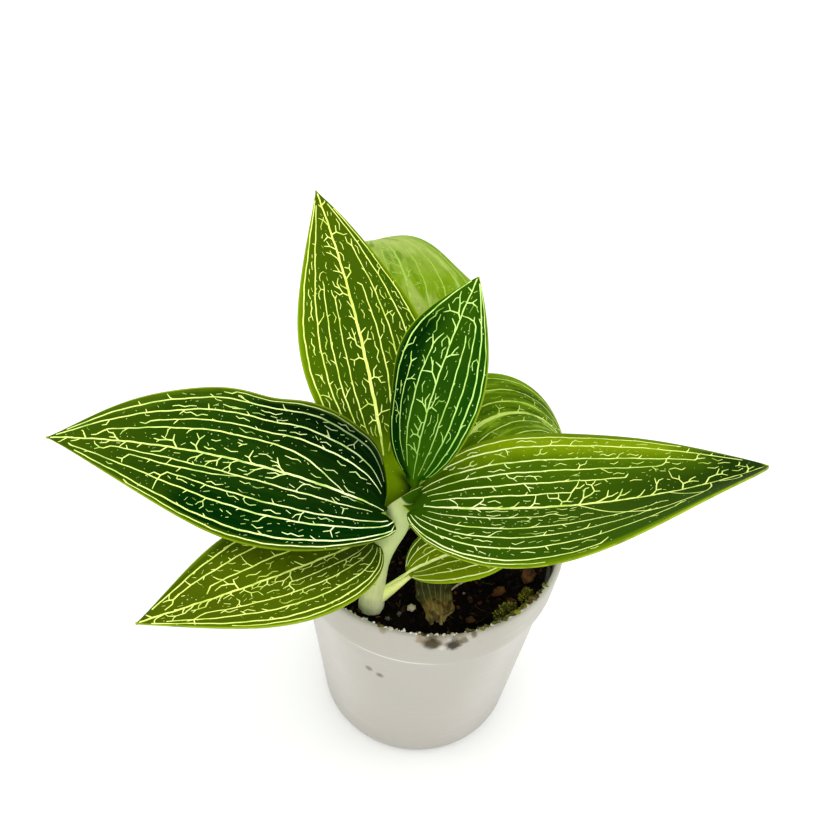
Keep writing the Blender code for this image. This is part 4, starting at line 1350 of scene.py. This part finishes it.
def growFronds(chance, lump):
    # small pointed leaflets that stand on the lump's faces
    points, faces = [], []
    spots = [(face.center / mm, face.normal.copy()) for face in lump.data.polygons]
    for _ in range(moss["leaflets"]):
        root, normal = chance.choice(spots)
        if normal.z < -0.2:
            continue
        stray = Vector([chance.uniform(-0.7, 0.7) for _ in range(3)])
        lean = (normal + stray + Vector((0, 0, 0.35))).normalized()
        side = lean.cross(Vector((chance.uniform(-1, 1), chance.uniform(-1, 1), 0.2))).normalized()
        out = lean.cross(side)
        stretch, width = moss["long"] * chance.uniform(0.6, 1.3), moss["broad"] * chance.uniform(0.7, 1.3)
        first = len(points)
        middle = root + lean * stretch * 0.5
        points += [root * mm, (middle + side * width) * mm, (middle + out * width * 0.6) * mm,
                   (middle - side * width) * mm, (middle - out * width * 0.6) * mm,
                   (root + lean * stretch + out * width * 0.8) * mm]
        for i in range(4):
            a, b = first + 1 + i, first + 1 + (i + 1) % 4
            faces += [(first, b, a), (first + 5, a, b)]
    fronds = newMesh("fronds", points, faces)
    faceOutward(fronds)
    return fronds


def buildMoss():
    chance = random.Random(moss["seed"])
    core = plainEarth("mossCore", "2a2a0c", "3d4212", 600)
    frond = Finish("mossFrond", roughness=0.8, specular=0.1)
    green = frond.set(Base_Color=frond.mix(frond.ease(frond.noise(420, 3.0), 0.3, 0.7), "4c4e0c", "8f8a2c"))
    for index in range(1, moss["tufts"] + 1):
        node = "moss_tuft_%d" % index
        lump = copyNode(node, "mossLump")
        roughen(lump, 3, 1.2, 0.3, index + 40)
        paint(lump, core, green)
        fronds = growFronds(chance, lump)
        paint(fronds, green)
        pick(lump)
        fronds.select_set(True)
        bpy.ops.object.join()
        lump.name = "visual_" + node
        mount(lump, "moss", node)


def tubeMesh(name, centres, radii, sides):
    # a closed tube along a line, its rings square to the line
    points = []
    count = len(centres)
    for i, (centre, radius) in enumerate(zip(centres, radii)):
        along = (centres[min(i + 1, count - 1)] - centres[max(i - 1, 0)]).normalized()
        side = along.cross(Vector((0.31, 0.95, 0.05))).normalized()
        other = along.cross(side)
        for j in range(sides):
            angle = 2 * math.pi * j / sides
            points.append((centre + (side * math.cos(angle) + other * math.sin(angle)) * radius) * mm)
    ends = [tuple(reversed(range(sides))), tuple(range((count - 1) * sides, count * sides))]
    piece = newMesh(name, points, gridFaces(count - 1, sides) + ends)
    faceOutward(piece)
    smooth(piece, 50)
    return piece


def buildStem():
    skin = Finish("stemSkin", specular=0.25, subsurface=0.15, radius=1.5)
    height = skin.part(skin.place(), 2)
    lines = skin.noise(1.0, 3.0, 0.6, skin.stretched((1500, 1500, 70)))
    # the near white foot is partly the stem's pale colour and partly painted light, raised to make up for the
    # shade there
    colour = skin.ramp((height - 50 * mm) / (34 * mm), (0.0, "f4fad8"), (0.2, "f0f6c0"), (0.32, "d4dc98"),
                       (0.56, "b8c484"), (0.84, "b0bc7c"), (0.89, "4c6a04"))
    colour = skin.mix(skin.ease(lines, 0.4, 0.7) * 0.2, colour, "a4b45c")
    low, top = stem["start"], stem["tip"]
    count = int((top - low) / stem["step"])
    levels = [low + (top - low) * i / count for i in range(count + 1)]
    radii = []
    for level in levels:
        scars = sum(0.05 * math.exp(-((level - scar) / 0.5) ** 2) for scar in stem["scars"])
        end = min(1.0, (top - level) / 1.4, (level - low) / 1.2 + 0.25)
        radii.append((stemRadius(level) + scars) * math.sqrt(max(0.12, end * (2 - end))))
    piece = tubeMesh("visual_stem", [stemPoint(level) for level in levels], radii, stem["sides"])
    relief = skin.bump(lines, 0.3, 0.0001)
    paint(piece, skin.set(Base_Color=colour, Roughness=0.36 + lines * 0.15, Normal=relief))
    mount(piece, "stem", "stem")


def dressRoots():
    finish = plainEarth("rootSkin", "a5926a", "7f6c48", 300, 0.75)
    for index in range(1, 5):
        root = bpy.data.objects["root_%d" % index]
        root.data.materials.clear()
        paint(root, finish)


# the uppermost sheath, in millimetres and degrees. rise is the height of its mouth at the middle, and slant
# lifts the side that toward points to. bow moves it sideways about bowAt, and shadeAt centres its painted
# shade
crown = {
    "low": 67.0, "rise": 84.2, "slant": 4.8, "toward": -42.0, "narrow": 2.1, "radius": 2.8, "wall": 0.32,
    "bow": 0.9, "bowAt": 77.0, "rows": 46, "sides": 72, "shadeAt": (-2.6, -16.0, 89.0),
}


def finishCrown():
    # the outside, the lining and the rim of the mouth
    skin = Finish("crownSkin", specular=0.03, subsurface=0.1)
    gap = skin.away(skin.place(), crown["shadeAt"])
    lines = skin.noise(1.0, 3.0, 0.6, skin.stretched((1500, 1500, 90)))
    colour = skin.mix(skin.ease(lines, 0.4, 0.7) * 0.15, "b4c282", "8ca050")
    # painted shade: the skin darkens to deep green around shadeAt
    colour = skin.mix(skin.ease(gap, 8.5 * mm, 5.0 * mm) * 0.7, colour, "98a662")
    colour = skin.mix(skin.ease(gap, 4.6 * mm, 4.0 * mm), colour, "2a4e02")
    return (skin.set(Base_Color=colour, Normal=skin.bump(lines, 0.3, 0.0001)),
            twoTone("crownLining", 0.45, 0.05, 400, "3c5a04", "5c7c04"),
            twoTone("crownRim", 0.6, 0.03, 500, "8cac4c", "b4cc74"))


def buildCrownSheath():
    # a tube that widens out of the stem, with a mouth cut on a slant
    rows, sides, low = crown["rows"], crown["sides"], crown["low"]
    _, east, north = stemAxes()
    skins = ([], [])
    for row in range(rows + 1):
        for side in range(sides):
            angle = 2 * math.pi * side / sides
            top = crown["rise"] + crown["slant"] * math.cos(angle - math.radians(crown["toward"]))
            height = low + (top - low) * row / rows
            share = min(1.0, (height - low) / 11.0)
            radius = crown["narrow"] + (crown["radius"] - crown["narrow"]) * share * (2 - share)
            aside = Vector((crown["bow"] * math.exp(-((height - crown["bowAt"]) / 4.0) ** 2), 0, 0))
            radius += 0.05 * math.sin(3 * angle + 0.4 * height) + 0.25 * max(0.0, row / rows - 0.8)
            for skin, wall in zip(skins, (0.0, crown["wall"] * (1.15 - 0.7 * row / rows))):
                out = (east * math.cos(angle) + north * math.sin(angle)) * (radius - wall)
                skin.append((stemPoint(height) + aside + out) * mm)
    inner = len(skins[0])
    outside = gridFaces(rows, sides)
    lining = [(inner + b, inner + a, inner + d, inner + c) for a, b, c, d in outside]
    lips = []
    for side in range(sides):
        after = (side + 1) % sides
        top = rows * sides
        lips += [(top + side, top + after, inner + top + after, inner + top + side),
                 (after, side, inner + side, inner + after)]
    inks = [0] * len(outside) + [1] * len(lining) + [2 if min(lip) > sides else 0 for lip in lips]
    piece = newMesh("crownSheath", skins[0] + skins[1], outside + lining + lips, inks)
    smooth(piece, 50)
    paint(piece, *finishCrown())
    mount(piece, "stem")


# millimetres. radii are those of its start and end
lowStalk = {
    "start": (-11.0, -20.0, 56.6), "middle": (-7.4, -18.9, 58.9), "end": (-0.8, -15.2, 63.9),
    "radii": (2.1, 0.3), "steps": 24, "sides": 24,
}


def buildLowStalk():
    # the small leaf's round stalk, from inside the stem to under the blade
    start, middle, end = (Vector(lowStalk[key]) for key in ("start", "middle", "end"))
    line, radii = [], []
    for i in range(lowStalk["steps"] + 1):
        t = i / lowStalk["steps"]
        line.append(start.lerp(middle, t).lerp(middle.lerp(end, t), t))
        radii.append(blendPair(lowStalk["radii"], t) * math.sqrt(max(0.15, min(1.0, (1 - t) * 6))))
    piece = tubeMesh("lowLeafStalk", line, radii, lowStalk["sides"])
    skin = Finish("lowStalkSkin", roughness=0.45, specular=0.15, subsurface=0.1)
    lines = skin.noise(1.0, 3.0, 0.6, skin.stretched((300, 1200, 1200), (0, -0.5, -0.4)))
    colour = skin.mix(skin.ease(lines, 0.35, 0.7) * 0.4, "f2fa9c", "d4e47c")
    paint(piece, skin.set(Base_Color=colour, Normal=skin.bump(lines, 0.2, 0.0001)))
    mount(piece, "stem")


# millimetres and degrees. sag is how far it falls, and clear the gap it keeps above the soil
dried = {
    "top": (2.2, -14.0, 60.6), "length": 10.3, "width": 9.6, "heading": 282.0, "thickness": 0.34,
    "sag": 4.6, "clear": 0.42, "rows": 56, "columns": 44,
}


def driedPoint(t, v):
    # a point of the shrivelled blade, which sags until it lies on the soil
    heading = math.radians(dried["heading"])
    out = Vector((math.cos(heading), math.sin(heading), 0.0))
    side = Vector((-out.y, out.x, 0.0))
    half = dried["width"] / 2 * (1 - 0.6 * t ** 1.4) * (1 + 0.1 * math.sin(9 * t + 2 * v))
    half *= 1 + 0.55 * t * noise.noise(Vector((5.0 * t, 3.0 * math.copysign(1, v), 2.0)))
    ragged = 3.2 * noise.noise(Vector((2.6 * v, 9.0, 0.0))) * t ** 4 + 1.4 * abs(v * 0.6 - 0.15) * t ** 6
    along = dried["length"] * (t - 0.07 * ragged) + 0.5 * math.sin(7 * v) * t
    crumple = 0.45 * math.sin(4.2 * v + 3 * t) + 0.3 * math.sin(8 * t - 2 * v)
    crumple += 1.3 * t * noise.fractal(Vector((1.7 * v, 3.2 * t, 5.0)), 0.9, 2.0, 3)
    rib = 0.10 * math.cos(16 * v * (1 + 0.3 * t))
    rib += 0.22 * noise.fractal(Vector((3 * v, 5 * t, 1.0)), 0.9, 2.0, 3)
    place = Vector(dried["top"]) + out * along + side * (half * v)
    place.z += crumple - dried["sag"] * t ** 0.8 + rib
    ground = soilHeight(place.x, place.y) + dried["thickness"] / 2 + dried["clear"]
    place.z = max(place.z, ground + 0.4 * rib)
    return place * mm


def finishDriedLeaf():
    paper = Finish("driedBlade", roughness=0.85, specular=0.1)
    _, t, v = paper.onLeaf()
    cloud = paper.noise(330, 4.0, 0.6)
    fine = paper.noise(1400, 3.0)
    colour = paper.ramp(t + (cloud - 0.5) * 0.5, (0.0, "2c3412"), (0.4, "3c4018"), (0.6, "6c5c26"),
                        (0.85, "8c7840"), (1.0, "a08c58"))
    lines = paper.node("ShaderNodeMath", {"operation": "COSINE"}, {0: v * 19.0 * (1.0 + t * 0.3)})
    colour = paper.mix(paper.ease(lines, 0.8, 0.98) * cloud * 0.6, colour, "9c9c64")
    colour = paper.mix(paper.ease(paper.noise(420, 3.0), 0.5, 0.62) * 0.75, colour, "2c2210")
    colour = paper.mix(paper.ease(fine, 0.55, 0.75) * 0.5, colour, "3c3018")
    return paper.set(Base_Color=colour, Normal=paper.bump(fine, 0.6, 0.0002))


def buildDriedLeaf():
    rows, columns = dried["rows"], dried["columns"]
    spots = [(row / rows, 2 * column / columns - 1)
             for row in range(rows + 1) for column in range(columns + 1)]
    faces = gridFaces(rows, columns + 1, closed=False)
    piece = newMesh("visual_dried_leaf", [driedPoint(t, v) for t, v in spots], faces)
    mapLeaf(piece, spots)
    paint(piece, finishDriedLeaf())
    applyModifier(piece, "SOLIDIFY", thickness=dried["thickness"] * mm, offset=0.0)
    faceOutward(piece)
    smooth(piece, 60)
    mount(piece, "dried_leaf", "dried_leaf")


# the thread's knots as (x, y, height above the soil)
thread = ((5.9, -16.0, 2.4), (7.5, -14.6, 3.2), (9.5, -13.1, 3.3), (11.5, -11.6, 2.4), (13.1, -10.2, 0.9))


def buildThread():
    knots = [Vector((x, y, soilHeight(x, y) + lift)) for x, y, lift in thread]
    line = []
    for i, (a, b) in enumerate(zip(knots, knots[1:])):
        before, after = knots[max(i - 1, 0)], knots[min(i + 2, len(knots) - 1)]
        for step in range(8):
            t = step / 8
            line.append(0.5 * (2 * a + (b - before) * t + (2 * before - 5 * a + 4 * b - after) * t ** 2
                               + (3 * a - before - 3 * b + after) * t ** 3))
    line.append(knots[-1])
    last = len(line) - 1
    radii = [0.24 * (1 - 0.35 * (2 * i / last - 1) ** 2) + 0.03 * math.sin(i * 1.7) for i in range(last + 1)]
    piece = tubeMesh("visual_dry_thread", line, radii, 10)
    paint(piece, plainEarth("dryThread", "c9bf9c", "9c8f66", 700, 0.7))
    mount(piece, "dried_leaf", "dry_thread")


print("pot")
buildPot()
print("soil and litter")
buildSoil()
buildCrumbs()
buildRimCrumbs()
buildFibres()
buildLitter()
buildMoss()
print("stem, dried leaf and thread")
buildStem()
dressRoots()
buildCrownSheath()
buildLowStalk()
buildDriedLeaf()
buildThread()

slots = {row["node"]: row["material_slot"] for row in frame["record"]["subparts"]}
print("leaves")
for leafName in leaves:
    dressLeaf(leafName, slots[leafName])
